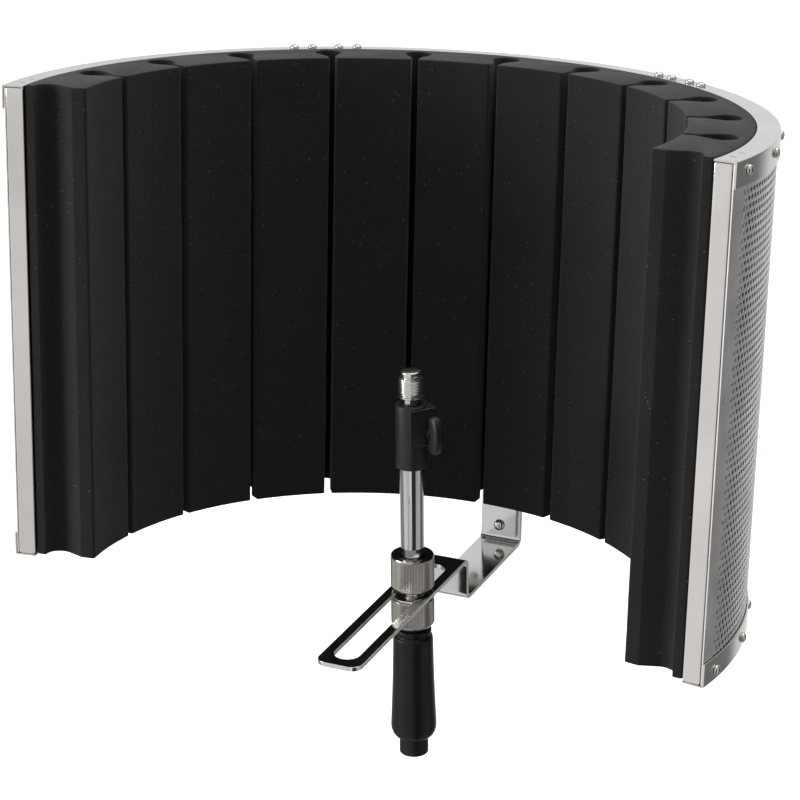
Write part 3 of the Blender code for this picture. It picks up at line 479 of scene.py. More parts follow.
def make_foam():
    """Cut foam: soft corners, and faces that a hot wire or a blade left very slightly wavy."""
    outline = resampled(rounded(foam_outline(), 1.8 * MM, 5), 3.2 * MM)
    flat = [Vector(point) for point in outline]
    count = len(flat)
    # room is how far each point can move inwards before its neighbours cross, where the outline is tightly curved.
    normals, room = [], []
    for k in range(count):
        into, out = flat[k] - flat[k - 1], flat[(k + 1) % count] - flat[k]
        along = into.normalized() + out.normalized()
        normals.append(Vector((along.y, -along.x)).normalized())
        turn = abs(into.angle_signed(out, 0))
        room.append(0.55 * (into.length + out.length) / 2 / max(turn, 1e-3))
    room = [min(room[(k + shift) % count] for shift in range(-4, 5)) for k in range(count)]
    low, high, soft, rows = FOAM_LOW, FOAM_HIGH, 0.8 * MM, 46
    levels = [(low + soft * (1 - cos(a)), soft * (1 - sin(a))) for a in (0, pi / 6, pi / 3)]
    levels += [(low + soft + (high - low - 2 * soft) * i / rows, 0) for i in range(rows + 1)]
    levels += [(high - soft * (1 - cos(a)), soft * (1 - sin(a))) for a in (pi / 3, pi / 6, 0)]
    rings = []
    for z, inset in levels:
        ring = []
        for point, normal, limit in zip(flat, normals, room):
            spot = Vector((point.x, point.y, z))
            wave = 0.22 * MM * noise.noise(spot * 45) + 0.10 * MM * noise.noise(spot * 190 + Vector((7, 3, 1)))
            if point.length > FOAM_BACK - 1 * MM:
                wave = -abs(wave)
            moved = point + normal * (min(wave, limit / 2) - min(inset, limit))
            ring.append((moved.x, moved.y, z))
        rings.append(ring)
    # The ends are filled block by block, from slot root to slot root and back along the rear arc.
    behind = [k for k in range(count) if flat[k].length > FOAM_BACK - 0.1 * MM]
    roots, backs = [0], [count]
    for index in range(-5, 6):
        centre = foam_point(index * SLOT_PITCH, 0, HOLE_DEPTH + HOLE_RADIUS)
        roots.append(min(range(count), key=lambda k: (flat[k] - Vector(centre)).length))
        backs.append(min(behind, key=lambda k: abs(angle_of(flat[k]) - index * SLOT_PITCH)))
    roots.append(behind[0] - 1)
    backs.append(behind[0])
    bm = bridged(rings, caps=False)
    bm.verts.ensure_lookup_table()
    for first in (0, (len(rings) - 1) * count):
        for k in range(len(roots) - 1):
            block = list(range(roots[k], roots[k + 1] + 1)) + list(range(backs[k + 1], backs[k]))
            if backs[k] < count:
                block.append(backs[k])
            bm.faces.new([bm.verts[first + i] for i in block])
    mesh = to_mesh(bm, "foam_lining", 50, S)
    foam = put("foam_lining", mesh, FOAM, "shield", ["acoustic_foam"])


# ---------------------------------------------------------------- perforated sheet

SHELL = 229.8 * MM
SHELL_THICKNESS = 0.8 * MM
HOLE_PITCH = 4.75 * MM
ROW_PITCH = 4.45 * MM
PUNCH = 1.5 * MM
DIMPLE = 0.14 * MM  # how far the punch draws in the edge of each hole
SHEET_MARGIN = 12.3 * MM
JOINT_ANGLE = HALF_ANGLE / 3


def make_perforated():
    """The outer sheet with its staggered round holes, in the three lengths that the rails divide it into."""
    low, high = SHEET + 0.3 * MM, HEIGHT - SHEET - 0.3 * MM
    end = HALF_ANGLE - 0.4 * MM / OUTER
    arc = 2 * end * SHELL
    columns = int((arc - 2 * SHEET_MARGIN) / HOLE_PITCH)
    rows = int((HEIGHT - 21 * MM) / ROW_PITCH)
    left = -columns * HOLE_PITCH / 2
    bottom = (HEIGHT - rows * ROW_PITCH) / 2
    xs = [-arc / 2] + [left + k * HOLE_PITCH / 2 for k in range(2 * columns + 1)] + [arc / 2]
    zs = [low] + [bottom + k * ROW_PITCH for k in range(rows + 1)] + [high]
    points = [(x, z, 0) for z in zs for x in xs]
    width = len(xs)

    def grid(i, j):
        return j * width + i

    faces = []
    turns = [pi / 4 * k for k in range(8)]
    for j in range(len(zs) - 1):
        plain = j in (0, len(zs) - 2)
        shift = (j - 1) % 2
        i = 0
        while i < width - 1:
            holed = not plain and i >= 1 + shift and (i - 1 - shift) % 2 == 0 and i + 2 <= width - 2
            if not holed:
                faces.append((grid(i, j), grid(i + 1, j), grid(i + 1, j + 1), grid(i, j + 1)))
                i += 1
                continue
            x, z = xs[i + 1], (zs[j] + zs[j + 1]) / 2
            first = len(points)
            points += [(x + PUNCH * cos(t), z + PUNCH * sin(t), DIMPLE) for t in turns]
            h = [first + k for k in range(8)]
            # The grid points round the hole, by compass point.
            sw, south, se = grid(i, j), grid(i + 1, j), grid(i + 2, j)
            nw, north, ne = grid(i, j + 1), grid(i + 1, j + 1), grid(i + 2, j + 1)
            faces += [
                (south, se, h[7], h[6]),
                (se, ne, h[1], h[0], h[7]),
                (ne, north, h[2], h[1]),
                (north, nw, h[3], h[2]),
                (nw, sw, h[5], h[4], h[3]),
                (sw, south, h[6], h[5]),
            ]
            i += 2
    flat = np.array(points)
    total = len(flat)
    angles = flat[:, 0] / SHELL
    shells = []
    for radius in (SHELL - flat[:, 2], SHELL - SHELL_THICKNESS):
        shells.append(np.stack([radius * np.sin(angles), radius * np.cos(angles), flat[:, 1]], axis=1))
    both = np.concatenate(shells)
    rotation = np.array(S.to_3x3())
    both = both @ rotation.T + np.array(S.translation)
    lengths = {"left": [], "centre": [], "right": []}
    for face in faces:
        where = sum(angles[k] for k in face) / len(face)
        side = "centre" if abs(where) < JOINT_ANGLE else ("left" if where < 0 else "right")
        lengths[side].append(face)
    for side, group in lengths.items():
        seen = {}  # the edges that have one face, once all faces are through
        for face in group:
            for a, b in zip(face, face[1:] + face[:1]):
                if (b, a) in seen:
                    del seen[(b, a)]
                else:
                    seen[(a, b)] = True
        # Angles grow clockwise seen from above, so a face's winding is turned round to point outwards.
        solid = [face[::-1] for face in group]
        solid += [tuple(k + total for k in face) for face in group]
        solid += [(a, b, b + total, a + total) for a, b in seen]
        used = sorted({k for face in solid for k in face})
        place = {k: i for i, k in enumerate(used)}
        mesh = bpy.data.meshes.new(f"perforated_sheet_{side}")
        mesh.from_pydata(both[used].tolist(), [], [[place[k] for k in face] for face in solid])
        mesh.update()
        mesh.shade_smooth()
        mesh.set_sharp_from_angle(angle=radians(30))
        nodes = ["perforated_shell"] if side == "centre" else []
        put(mesh.name, mesh, PERFORATED, "shield", nodes)


# ---------------------------------------------------------------- frame

FLANGE = 13.7 * MM
LIP = 14.5 * MM
WEB_INNER = 217.6 * MM
WEB_OUTER = 228.7 * MM
SPLICE_RADIUS = 223.8 * MM
LIP_INSET = 6.3 * MM
LIP_END = radians(96.5)
LIP_PITCH = radians(12.87)


def rail_section(top):
    """An L: the flange over the foam and the lip down the outside."""
    inner, lip = OUTER - FLANGE, OUTER - SHEET
    corners = [(inner, SHEET), (lip, SHEET), (lip, LIP), (OUTER, LIP), (OUTER, 0), (inner, 0)]
    if top:
        corners = [(r, HEIGHT - z) for r, z in corners]
    radii = [0.3 * MM, 0.35 * MM, 0.3 * MM, 0.3 * MM, 1.1 * MM, 0.3 * MM]
    return rounded(corners, radii, 4)


def make_rails():
    gap = 0.2 * MM / OUTER
    spans = {
        "left": (-HALF_ANGLE, -JOINT_ANGLE - gap),
        "centre": (-JOINT_ANGLE + gap, JOINT_ANGLE - gap),
        "right": (JOINT_ANGLE + gap, HALF_ANGLE),
    }
    for level in ("top", "bottom"):
        for side, (start, end) in spans.items():
            mesh = sweep("rail", rail_section(level == "top"), start, end)
            if side != "centre":
                sign = 1 if side == "right" else -1
                middle = HEIGHT if level == "top" else 0
                cuts = []
                for turn in (94.1, 97.3):
                    spin = S @ Matrix.Rotation(-sign * radians(turn), 4, "Z")
                    low = (-0.45 * MM, 221.4 * MM, middle - 1.6 * MM)
                    high = (0.45 * MM, 224.7 * MM, middle + 1.6 * MM)
                    cuts.append(("DIFFERENCE", box("slit", low, high, spin)))
                mesh = combined("rail", mesh, cuts)
            name = f"{level}_{side}_rail_formed"
            mesh.name = name
            rail = put(name, mesh, PLATE, "shield", [f"{level}_rail_{side}"])
            rail.modifiers.new("flat", "WEIGHTED_NORMAL").keep_sharp = True


def make_channels():
    """U-section uprights: a flat web with rounded lower corners and a rolled upper edge, and two legs."""
    low, high = SHEET + 0.35 * MM, HEIGHT - SHEET - 0.3 * MM
    leg, bend, corner, roll, rows = 20 * MM, 0.8 * MM, 2.0 * MM, 1.3 * MM, 23
    section = [(leg, WEB_OUTER), (0, WEB_OUTER), (0, WEB_INNER), (leg, WEB_INNER), (leg, WEB_INNER + SHEET)]
    section += [(SHEET, WEB_INNER + SHEET), (SHEET, WEB_OUTER - SHEET), (leg, WEB_OUTER - SHEET)]
    tiny = 0.2 * MM
    outline = resampled(rounded(section, [tiny, bend, bend, tiny, tiny, tiny, tiny, tiny], 5), 0.9 * MM)
    for side, sign in (("left", -1), ("right", 1)):
        rings = []

        def ring(height, curl):
            points = []
            for t, r in outline:
                if t < roll:
                    edge = max(0.0, min(r - WEB_INNER, WEB_OUTER - r))
                    lift = corner - sqrt(max(0.0, corner**2 - max(0.0, corner - edge) ** 2))
                    t = t + curl
                else:
                    lift = corner
                z = height(lift)
                x, y = on_arc(sign * (HALF_ANGLE - t / WEB_INNER), r)
                points.append((x, y, z))
            return points

        rings.append(ring(lambda lift: low + lift, 0))
        for k in range(1, rows + 1):
            rings.append(ring(lambda lift, k=k: low + corner + (high - roll - low - corner) * k / rows, 0))
        for k in range(1, 5):
            turn = radians(78) * k / 4
            rings.append(ring(lambda lift, a=turn: high - roll + roll * sin(a), roll * (1 - cos(turn))))
        bm = bridged(rings)
        mesh = to_mesh(bm, f"end_channel_{side}_formed", 28, S)
        put(mesh.name, mesh, PLATE, "shield", [f"end_channel_{side}"])


def screw_mesh(name, radius, height, shank, length, recess=True):
    """A domed screw, with a cross recess or plain. The clamped surface is z = 0."""
    rim = 0.15 * MM
    profile = [(0, -length), (shank - 0.2 * MM, -length), (shank, 0.2 * MM - length), (shank, rim)]
    profile += [(radius - 0.15 * MM, rim), (radius, rim + 0.2 * MM), (radius, rim + 0.45 * MM)]
    start = rim + 0.45 * MM
    rise = height - start
    for k in range(1, 10):
        turn = pi / 2 * k / 9
        profile.append((radius * cos(turn) ** 0.9 if k < 9 else 0, start + rise * sin(turn)))
    mesh = lathe(name, profile, 36, closed=False, sharp=40)
    if not recess:
        return mesh
    arm = radius * 0.52
    slot = radius * 0.13
    cuts = []
    for turn in (0, pi / 2):
        spin = Matrix.Rotation(turn, 4, "Z")
        low, high = (-arm, -slot, height - 0.38 * radius), (arm, slot, height + 1 * MM)
        cuts.append(("DIFFERENCE", box("cross", low, high, spin)))
    return combined(name, mesh, cuts, 40)


def vertical_place(angle, radius, height, up):
    """Where a screw that points up or down goes."""
    x, y = on_arc(angle, radius)
    turn = Matrix.Identity(4) if up else Matrix.Rotation(pi, 4, "X")
    return Matrix.Translation((x, y, height)) @ turn


def radial_place(angle, radius, height):
    """Where a screw that points straight out of the shell goes."""
    x, y = on_arc(angle, radius)
    turn = Vector((0, 0, 1)).rotation_difference(Vector((x, y, 0))).to_matrix().to_4x4()
    return Matrix.Translation((x, y, height)) @ turn


GOLDEN_TURN = 2.39996  # radians: each screw stops at a turn unlike its neighbours'


def make_screws():
    """The splices' flange screws and the lip screws, 16 to a rail. The CAD holds only the end two of each side."""
    head = screw_mesh("pan_head", 3.0 * MM, 2.5 * MM, 1.5 * MM, 3.3 * MM)

    def add(name, place, number, nodes):
        spin = Matrix.Rotation(number * GOLDEN_TURN, 4, "Z")
        put(name, head, SCREW, "shield", nodes, S @ place @ spin)

    offsets = [radians(value) for value in (-5.35, -2.25, 2.25, 5.35)]
    angles = [joint + offset for joint in (-JOINT_ANGLE, JOINT_ANGLE) for offset in offsets]
    for level, height in (("top", HEIGHT), ("bottom", 0)):
        for number, angle in enumerate(angles, 1):
            place = vertical_place(angle, SPLICE_RADIUS, height, level == "top")
            add(f"{level}_flange_pan_head_{number}", place, number, [f"{level}_flange_screw_{number}"])
    cad = {0: 1, 1: 2, 14: 3, 15: 4}  # place along the rail: the CAD screw's number
    for level, height in (("bottom", LIP_INSET), ("top", HEIGHT - LIP_INSET)):
        for number in range(16):
            place = radial_place(-LIP_END + number * LIP_PITCH, OUTER, height)
            nodes = [f"{level}_lip_screw_{cad[number]}"] if number in cad else []
            add(f"{level}_lip_pan_head_{number + 1}", place, number + 5, nodes)


# ---------------------------------------------------------------- hanger and bracket

HANGER_FRONT = 218.5 * MM
HANGER_THICK = 2.5 * MM
TAB_MIDDLE = 222.9 * MM
TAB_SCREW_Z = -27.2 * MM
BAR_HALF = 14.7 * MM
BAR_THICK = 3.0 * MM


def fillet(before, corner, after, radius, steps):
    """The points of the arc that replaces a corner."""
    into = (corner - before).normalized()
    out = (after - corner).normalized()
    turn = into.angle(out)
    trim = radius * abs(sin(turn / 2) / cos(turn / 2))
    side = 1 if into.x * out.y - into.y * out.x > 0 else -1
    start = corner - into * trim
    centre = start + Vector((-into.y, into.x)) * side * radius
    arm = start - centre
    points = []
    for i in range(steps + 1):
        swing = side * turn * i / steps
        across = arm.x * cos(swing) - arm.y * sin(swing)
        points.append(centre + Vector((across, arm.x * sin(swing) + arm.y * cos(swing))))
    return points


def strip(name, corners, half_width, thickness, radius, steps, front=0.0):
    """A flat strip along a middle line of (y, z) points, bent at its corners. front rounds the first end's corners."""
    line = [corners[0]]
    for before, corner, after in zip(corners, corners[1:], corners[2:]):
        line += fillet(before, corner, after, radius, steps)
    line.append(corners[-1])
    half = thickness / 2
    above, below = [], []
    for i, point in enumerate(line):
        along = (line[min(i + 1, len(line) - 1)] - line[max(i - 1, 0)]).normalized()
        side = Vector((-along.y, along.x)) * half
        above.append(point + side)
        below.append(point - side)
    bm = bmesh.new()
    face = bm.faces.new([bm.verts.new((-half_width, p.x, p.y)) for p in above + below[::-1]])
    other = bmesh.ops.extrude_face_region(bm, geom=[face])
    verts = [item for item in other["geom"] if isinstance(item, bmesh.types.BMVert)]
    bmesh.ops.translate(bm, verts=verts, vec=(2 * half_width, 0, 0))
    if front:
        start = corners[0]
        edges = [
            edge
            for edge in bm.edges
            if all(abs(v.co.y - start.x) < 1e-6 for v in edge.verts)
            and abs(edge.verts[0].co.z - edge.verts[1].co.z) > half
        ]
        bmesh.ops.bevel(bm, geom=edges, offset=front, segments=12, profile=0.5, affect="EDGES")
    return to_mesh(bm, name, 25)


def tab_place():
    """The bolt's place in the hanger's tab, its head towards the front."""
    return Matrix.Translation((0, HANGER_FRONT, TAB_SCREW_Z)) @ Matrix.Rotation(pi / 2, 4, "X")


def make_hanger():
    gap = 0.3 * MM
    middle = HANGER_FRONT + HANGER_THICK / 2
    foot = -gap - HANGER_THICK / 2
    corners = [Vector((229.0 * MM, foot)), Vector((middle, foot)), Vector((middle, -34.5 * MM))]
    mesh = strip("hanger", corners, 12 * MM, HANGER_THICK, 2.0 * MM, 8)
    wide, near, far = 30 * MM, 220.8 * MM, 228.9 * MM
    wings = prism(
        "wings",
        rounded([(-wide, near), (wide, near), (wide, far), (-wide, far)], 2 * MM, 5),
        foot - HANGER_THICK / 2 + 0.02 * MM,
        foot + HANGER_THICK / 2 - 0.02 * MM,
    )
    mesh = combined("hanger_angle", mesh, [("UNION", wings)], 25)
    mesh.transform(S)
    hanger = put("hanger_angle", mesh, BRACKET, "shield", ["hanger_plate"])
    add_bevel(hanger, 0.3 * MM)
    bolt = screw_mesh("hanger_bolt_head", 3.9 * MM, 2.9 * MM, 2.4 * MM, 10.2 * MM, recess=False)
    put("hanger_domed_bolt", bolt, SCREW, "shield", ["hanger_bolt"], S @ tab_place())
    foot_head = screw_mesh("foot_head", 3.0 * MM, 2.3 * MM, 1.5 * MM, 4.6 * MM)
    for number, x in enumerate((-22 * MM, 22 * MM), 1):
        place = Matrix.Translation((x, 224.5 * MM, -gap - HANGER_THICK)) @ Matrix.Rotation(pi, 4, "X")
        name = f"hanger_foot_pan_head_{number}"
        put(name, foot_head, SCREW, "shield", [f"hanger_foot_screw_{number}"], S @ place)


def make_bar():
    """The slotted bar, its two bends and the tab that leans with the shield, with its bolt's nut."""
    upper, lower = 116.5 * MM, 88.5 * MM

    def to_world(y, z):
        point = S @ Vector((0, y, z))
        return Vector((point.y, point.z))

    tab_top, tab_low = to_world(TAB_MIDDLE, -3.6 * MM), to_world(TAB_MIDDLE, 0)
    slope = (tab_top - tab_low).normalized()
    corner = tab_low + slope * ((lower - tab_low.y) / slope.y)
    step = 56.3 * MM
    corners = [Vector((-113.5 * MM, upper)), Vector((step, upper)), Vector((step, lower)), corner, tab_top]
    mesh = strip("bar", corners, BAR_HALF, BAR_THICK, 4.5 * MM, 12, 7 * MM)
    half = 8.2 * MM
    outline = []
    for centre, start in ((-105.0 * MM + half, pi), (39.5 * MM - half, 0)):
        for i in range(25):
            turn = start + pi * i / 24
            outline.append((half * cos(turn), centre + half * sin(turn)))
    cut = prism("slot", outline, 110 * MM, 122 * MM)
    hole = lathe("hole", scaled([(0, -12), (2.8, -12), (2.8, 3), (0, 3)]), 32, False)
    hole.transform(S @ tab_place())
    mesh = combined("bracket_strip", mesh, [("DIFFERENCE", cut), ("DIFFERENCE", hole)], 25)
    bar = put("bracket_strip", mesh, BRACKET, "shield", ["bracket_bar"])
    add_bevel(bar, 0.32 * MM)
    nut_far = -(TAB_MIDDLE + BAR_THICK / 2 - HANGER_FRONT) - 0.3 * MM
    profile = [(2.6, -3.2), (3.9, -3.2), (4.6, -2.8), (4.6, -0.4), (3.9, 0), (2.6, 0)]
    nut = lathe("nut", [(r * MM, nut_far + z * MM) for r, z in profile], 6, True, 20)
    put("hanger_hex_nut", nut, SCREW, "shield", ["hanger_nut"], S @ tab_place())


# ---------------------------------------------------------------- post


def knurled(name, levels, ridges, depth):
    """A turned ring with straight ridges on its outside. levels are (radius, height, share of the ridge depth)."""
    rings = []
    columns = ridges * 4
    wave = (0.0, 0.35, 1.0, 0.35)
    for radius, height, share in levels:
        ring = []
        for k in range(columns):
            r = radius - depth * share * wave[k % 4]
            turn = 2 * pi * k / columns
            ring.append((r * cos(turn), r * sin(turn), height))
        rings.append(ring)
    return to_mesh(bridged(rings, closed=True), name, 42)


KNURL_RIDGES = 84
KNURL_DEPTH = 0.42 * MM


def make_clamp():
    """The two nuts that hold the bar between them, and the washer that it turns on."""
    lower = [(6.2, 92.1, 0), (6.5, 91.8, 0), (10.9, 91.8, 0), (11.6, 92.3, 0), (13.4, 94.6, 0), (14.0, 95.6, 0)]
    lower += [(14.0, 96.2, 1), (14.0, 112.0, 1), (14.0, 112.4, 0), (14.0, 112.6, 0)]
    lower += [(13.6, 113.1, 0), (6.5, 113.1, 0), (6.2, 112.8, 0)]
    mesh = knurled("lower_nut_knurled", scaled(lower), KNURL_RIDGES, KNURL_DEPTH)
    put(mesh.name, mesh, NICKEL, "lower_nut", ["lower_knurled_nut"])
    upper = [(6.2, 118.6, 0), (6.5, 118.3, 0), (9.6, 118.3, 0), (10.0, 118.6, 0), (10.0, 119.5, 0)]
    upper += [(12.2, 119.6, 0), (13.4, 120.3, 0), (14.0, 121.6, 0), (14.0, 122.3, 1), (14.0, 141.2, 1)]
    upper += [(14.0, 141.6, 0), (14.0, 141.9, 0), (13.5, 142.6, 0), (8.5, 142.6, 0), (7.95, 142.2, 0)]
    upper += [(7.95, 124.0, 0), (6.2, 123.9, 0)]
    mesh = knurled("upper_nut_knurled", scaled(upper), KNURL_RIDGES, KNURL_DEPTH)
    put(mesh.name, mesh, NICKEL, "upper_nut", ["upper_knurled_nut"])
    washer = [(6.3, 113.4), (13.2, 113.4), (13.4, 113.6), (13.4, 114.5), (13.2, 114.7), (6.3, 114.7)]
    mesh = lathe("clamp_washer_turned", scaled(washer))
    put(mesh.name, mesh, SCREW, "swivel_washer", ["clamp_washer"])


def make_stand_top():
    """The stub of the stand's tube and the clutch grip: a bulge at its foot, a taper, a groove and a ring."""
    stub = [(8.6, 0.2), (8.8, 0), (9.3, 0), (9.5, 0.3), (9.5, 45.8), (9.3, 46), (8.6, 46)]
    mesh = lathe("stub_tube_coated", scaled(stub))
    put(mesh.name, mesh, STUB, "stand_stub", ["stub_tube"])
    grip = [(9.8, 12.4), (10.2, 12.3)]
    for k in range(1, 11):
        turn = pi / 2 * k / 10
        grip.append((10.2 + 4.75 * sin(turn), 20.8 - 8.5 * cos(turn)))
    for k in range(1, 15):
        t = k / 14
        grip.append((14.95 - 1.95 * t - 0.25 * sin(pi * t), 20.8 + 61.0 * t))
    grip += [(12.8, 84.4), (12.5, 85.2), (11.6, 85.7), (11.1, 86.2), (11.1, 87.3), (11.4, 87.7), (11.9, 87.9)]
    grip += [(12.0, 88.2), (12.0, 90.2), (11.7, 90.8), (11.2, 91.0), (8.6, 91.0), (8.5, 90.8), (8.5, 61), (9.8, 61)]
    mesh = lathe("clutch_grip_moulded", scaled(grip), 128, True, 50)
    put(mesh.name, mesh, GRIP, "clutch", ["clutch_grip"])


EAR_TURN = radians(50.4)
WING_REACH = 8.6 * MM
WING_HEIGHT = 228.1 * MM


def make_post():
    """The extension tube and the collar, with the split ear that the wing screw closes."""
    tube = [(6.2, 124.4), (6.4, 124.2), (7.5, 124.2), (7.6, 124.4), (7.6, 217.6), (7.4, 217.8), (6.2, 217.8)]
    mesh = lathe("extension_tube_polished", scaled(tube), 128)
    put(mesh.name, mesh, CHROME, "height_tube", ["extension_tube"])
    collar = [(7.9, 204.0), (8.2, 203.6), (9.4, 203.6), (9.75, 203.9), (9.85, 204.4), (9.85, 244.7), (9.6, 245.4)]
    collar += [(9.0, 245.8), (6.1, 245.8), (5.8, 245.5), (5.8, 218.1), (7.9, 218.1)]
    base = lathe("collar", scaled(collar))
    turn = Matrix.Rotation(EAR_TURN, 4, "Z")
    ear = box("ear", (-5.7 * MM, -10.3 * MM, 219.4 * MM), (12.8 * MM, 10.3 * MM, 244.4 * MM), turn, 0.8 * MM, 4)
    bore = lathe("bore", scaled([(0, 218.6), (6.0, 218.6), (6.0, 248), (0, 248)]), 64, False)
    slit = box("slit", (5 * MM, -0.7 * MM, 218.9 * MM), (15 * MM, 0.7 * MM, 248 * MM), turn)
    hole = lathe("hole", scaled([(0, -14), (1.9, -14), (1.9, 14), (0, 14)]), 24, False)
    hole.transform(wing_place())
    cuts = [("UNION", ear), ("DIFFERENCE", bore), ("DIFFERENCE", slit), ("DIFFERENCE", hole)]
    mesh = combined("clamp_collar_moulded", base, cuts, 40)
    put(mesh.name, mesh, COLLAR, "height_tube", ["clamp_collar"])


def wing_place():
    """The wing screw's place: its axis runs out along the ear."""
    ear = Vector((cos(EAR_TURN), sin(EAR_TURN), 0))
    up = Vector((0, 0, 1))
    turn = Matrix((ear, up, ear.cross(up))).transposed().to_4x4()
    return Matrix.Translation(ear * WING_REACH + up * WING_HEIGHT) @ turn


def make_wing():
    """A flat oval wing, thinner towards its rim, on a short hub."""
    rings = []
    start, centre, length, tall, thick, steps = 12.8, 15.8, 6.75, 12.5, 2.95, 48
    half = acos((start - centre) / length)
    turns = [-half + 2 * half * i / steps for i in range(steps + 1)]
    outline = [(centre + length * cos(t), tall * sin(t)) for t in turns]
    outline = rounded(outline, [1.0] + [0] * (steps - 1) + [1.0], 4)
    # Across the thickness, and how much of the outline is left there.
    layers = [(-1, 0.62), (-1, 0.86), (-0.72, 0.97), (-0.25, 1), (0.25, 1), (0.72, 0.97), (1, 0.86), (1, 0.62)]
    for side, share in layers:
        ring = []
        for a, b in outline:
            a = start + 0.1 + (a - start) * share if share < 1 else a
            ring.append((side * thick * MM, b * share * MM, a * MM))
        rings.append(ring)
    wing = to_mesh(bridged(rings), "wing", 50)
    hub = lathe("hub", scaled([(0, 10.85), (3.9, 10.85), (4.2, 11.2), (4.0, 14.6), (0, 14.8)]), 40, False)
    bore = lathe("bore", scaled([(0, 9), (1.9, 9), (1.9, 17.1), (0, 17.1)]), 20, False)
    mesh = combined("wing_knob_moulded", wing, [("UNION", hub), ("DIFFERENCE", bore)], 45)
    mesh.transform(wing_place())
    put(mesh.name, mesh, COLLAR, "wing_screw", ["wing_knob"])


def make_thread():
    """The microphone thread: a helix cut into the outside, a relief groove below it and a turned tip."""
    columns = 72
    pitch, depth, run_out, radius = 0.94, 0.42, 0.4, 7.93
    levels = [(1.0, 258.3, 0), (5.8, 258.3, 0), (5.8, 250.6, 0), (6.0, 250.4, 0), (7.6, 250.4, 0)]
    levels += [(7.93, 250.7, 0), (7.93, 251.6, 0), (7.0, 251.9, 0), (7.0, 252.6, 0)]
    rows, foot, crest = 90, 253.0, 262.9
    levels += [(radius, foot + (crest - foot) * k / rows, min(1, k / 6, (rows - k) / 7)) for k in range(rows + 1)]
    levels += [(7.4, 263.3, 0), (6.9, 263.4, 0), (5.7, 263.4, 0), (5.6, 263.6, 0), (5.6, 264.2, 0), (6.1, 264.5, 0)]
    levels += [(6.3, 264.8, 0), (6.3, 267.0, 0), (6.1, 267.4, 0), (5.7, 267.6, 0), (1.0, 267.6, 0)]
    rings = []
    for r, z, share in levels:
        ring = []
        for k in range(columns):
            turn = 2 * pi * k / columns
            phase = (z / pitch - k / columns) % 1
            cut = depth * share * abs(2 * phase - 1)
            if r == radius and z >= foot:
                cut += run_out * (1 - share)
            ring.append(((r - cut) * cos(turn) * MM, (r - cut) * sin(turn) * MM, z * MM))
        rings.append(ring)
    mesh = to_mesh(bridged(rings), "mic_thread_cut", 50)
    put(mesh.name, mesh, THREAD, "mic_rod", ["thread_adapter"])


def dress_nodes():
    """The CAD pieces that show as they are get their materials."""
    looks = {
        "absorber_felt": FELT,
        "backing_sheet": SHEET_METAL,
        "inner_tube": CHROME,
        "threaded_stem": THREAD,
        "mic_rod": CHROME,
        "clutch_collet": COLLET,
        "wing_screw": SCREW,
    }
    for level in ("top", "bottom"):
        for side in ("left", "right"):
            looks[f"{level}_splice_{side}"] = PLATE
    for name, material in looks.items():
        paint(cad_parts[name].data, material)


make_foam()
make_perforated()
make_rails()
make_channels()
make_screws()
make_hanger()
make_bar()
make_clamp()
make_stand_top()
make_post()
make_wing()
make_thread()
dress_nodes()


# ---------------------------------------------------------------- stage, light and camera


FLOOR_LEVEL = -0.75
SURROUND_FLOOR = -0.72  # the surround is cut off just above the floor
WORLD_LOW, WORLD_HIGH = 0.08, 1.4


def make_stage():
    """A pale floor well below the part, since the rest of the stand isn't there. Its weak glow keeps it white."""
    bm = bmesh.new()
    size, level = 40, FLOOR_LEVEL
    bm.faces.new([bm.verts.new((x * size, y * size, level)) for x, y in ((-1, -1), (1, -1), (1, 1), (-1, 1))])
    mesh = to_mesh(bm, "floor", 60)
    n = Nodes("floor_pale", (0.92, 0.92, 0.92), 0.9, 0.0)
    n.colour(n.mix(n.noise(3, 2, 0.5), rgba(0.91, 0.91, 0.91), rgba(0.93, 0.93, 0.93)))
    n.shader.inputs["Emission Color"].default_value = (1, 1, 1, 1)
    n.shader.inputs["Emission Strength"].default_value = 0.35
    mesh.materials.append(n.material)
    floor = add_object("floor", mesh)
    floor.visible_diffuse = False


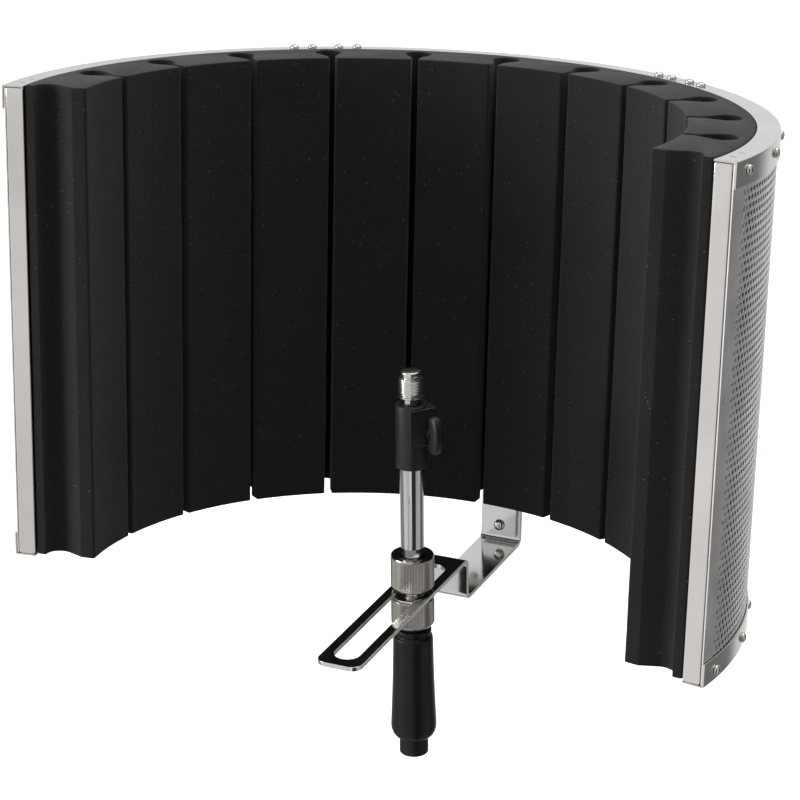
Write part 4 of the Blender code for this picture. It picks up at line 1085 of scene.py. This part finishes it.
def make_surround():
    """The studio that the metal reflects: soft white panels with darker gaps between them, all round the part."""
    bm = bmesh.new()
    bmesh.ops.create_uvsphere(bm, u_segments=64, v_segments=32, radius=2.6)
    for vert in bm.verts:
        vert.co.z = max(vert.co.z, SURROUND_FLOOR)
    mesh = to_mesh(bm, "surround")
    material = bpy.data.materials.new("surround_panels")
    material.use_nodes = True
    tree = material.node_tree
    tree.nodes.clear()
    add, link = tree.nodes.new, tree.links.new
    output = add("ShaderNodeOutputMaterial")
    emission = add("ShaderNodeEmission")
    coords = add("ShaderNodeTexCoord")
    split = add("ShaderNodeSeparateXYZ")
    turn = add("ShaderNodeMath")
    turn.operation = "ARCTAN2"
    flip = add("ShaderNodeMath")
    flip.operation = "MULTIPLY"
    flip.inputs[1].default_value = -1
    ramp = add("ShaderNodeValToRGB")
    ramp.color_ramp.interpolation = "EASE"
    # Degrees round from the front towards the right, and brightness there.
    stops = [
        (-180, 0.80), (-130, 0.72), (-112, 0.30), (-70, 0.34), (-56, 0.92), (-6, 0.70), (10, 1.0), (20, 0.95),
        (25, 0.04), (60, 0.04), (68, 0.50), (108, 0.60), (120, 0.17), (150, 0.17), (166, 0.72), (180, 0.80),
    ]
    elements = ramp.color_ramp.elements
    while len(elements) > 1:
        elements.remove(elements[-1])
    for number, (degrees, value) in enumerate(stops):
        place = (degrees + 180) / 360
        element = elements[0] if number == 0 else elements.new(place)
        element.position = place
        element.color = (value, value, value, 1)
    top = add("ShaderNodeMix")
    top.data_type = "RGBA"
    top.inputs[7].default_value = (0.76, 0.76, 0.76, 1)
    link(coords.outputs["Object"], split.inputs["Vector"])
    link(split.outputs["Y"], flip.inputs[0])
    link(split.outputs["X"], turn.inputs[0])
    link(flip.outputs[0], turn.inputs[1])
    link(map_range(tree, turn.outputs[0], -pi, pi), ramp.inputs["Fac"])
    # From 0.9 m to 1.7 m up the panels give way to an even ceiling.
    link(map_range(tree, split.outputs["Z"], 0.9, 1.7), top.inputs[0])
    link(ramp.outputs["Color"], top.inputs[6])
    link(top.outputs[2], emission.inputs["Color"])
    link(emission.outputs["Emission"], output.inputs["Surface"])
    mesh.materials.append(material)
    surround = add_object("surround", mesh)
    surround.visible_camera = False
    surround.visible_diffuse = False
    surround.visible_shadow = False
    surround.visible_transmission = False


def add_light(name, location, target, size, power):
    """A soft rectangular light aimed at a point. The camera doesn't see it."""
    light = bpy.data.lights.new(name, "AREA")
    light.shape = "RECTANGLE"
    light.size, light.size_y = size
    light.energy = power
    obj = add_object(name, light)
    obj.location = location
    aim = Vector(target) - Vector(location)
    obj.rotation_euler = aim.to_track_quat("-Z", "Y").to_euler()
    obj.visible_camera = False


def make_lights():
    """A sky that is bright above and dim at the horizon, a soft key from the left and a soft light from above."""
    world = bpy.data.worlds.new("studio")
    world.use_nodes = True
    tree = world.node_tree
    background = tree.nodes["Background"]
    coords = tree.nodes.new("ShaderNodeTexCoord")
    split = tree.nodes.new("ShaderNodeSeparateXYZ")
    tree.links.new(coords.outputs["Generated"], split.inputs["Vector"])
    strength = map_range(tree, split.outputs["Z"], -0.1, 1.0, WORLD_LOW, WORLD_HIGH)
    tree.links.new(strength, background.inputs["Strength"])
    background.inputs["Color"].default_value = (1, 1, 1, 1)
    bpy.context.scene.world = world
    bpy.context.scene.view_settings.view_transform = "Standard"
    middle = (0, 0, 0.25)
    add_light("key", (-2.0, -1.3, 0.9), middle, (1.2, 1.2), 56)
    add_light("top", (0.2, 0.6, 2.2), middle, (1.8, 1.8), 16)


def make_camera():
    """The photograph's viewpoint, fitted to the shield's outline."""
    azimuth, elevation, roll = radians(24.554), radians(21.307), radians(-0.616)
    back = Vector((sin(azimuth) * cos(elevation), -cos(azimuth) * cos(elevation), sin(elevation)))
    right = Vector((0, 0, 1)).cross(back).normalized()
    up = back.cross(right)
    right, up = cos(roll) * right + sin(roll) * up, -sin(roll) * right + cos(roll) * up
    camera = bpy.data.cameras.new("camera")
    camera.lens = 106.06
    camera.sensor_width = 36
    camera.clip_end = 60
    obj = add_object("camera", camera)
    turn = Matrix((right, up, back)).transposed().to_4x4()
    obj.matrix_world = Matrix.Translation((0.5612, -1.2448, 0.7806)) @ turn
    bpy.context.scene.camera = obj


make_stage()
make_surround()
make_lights()
make_camera()
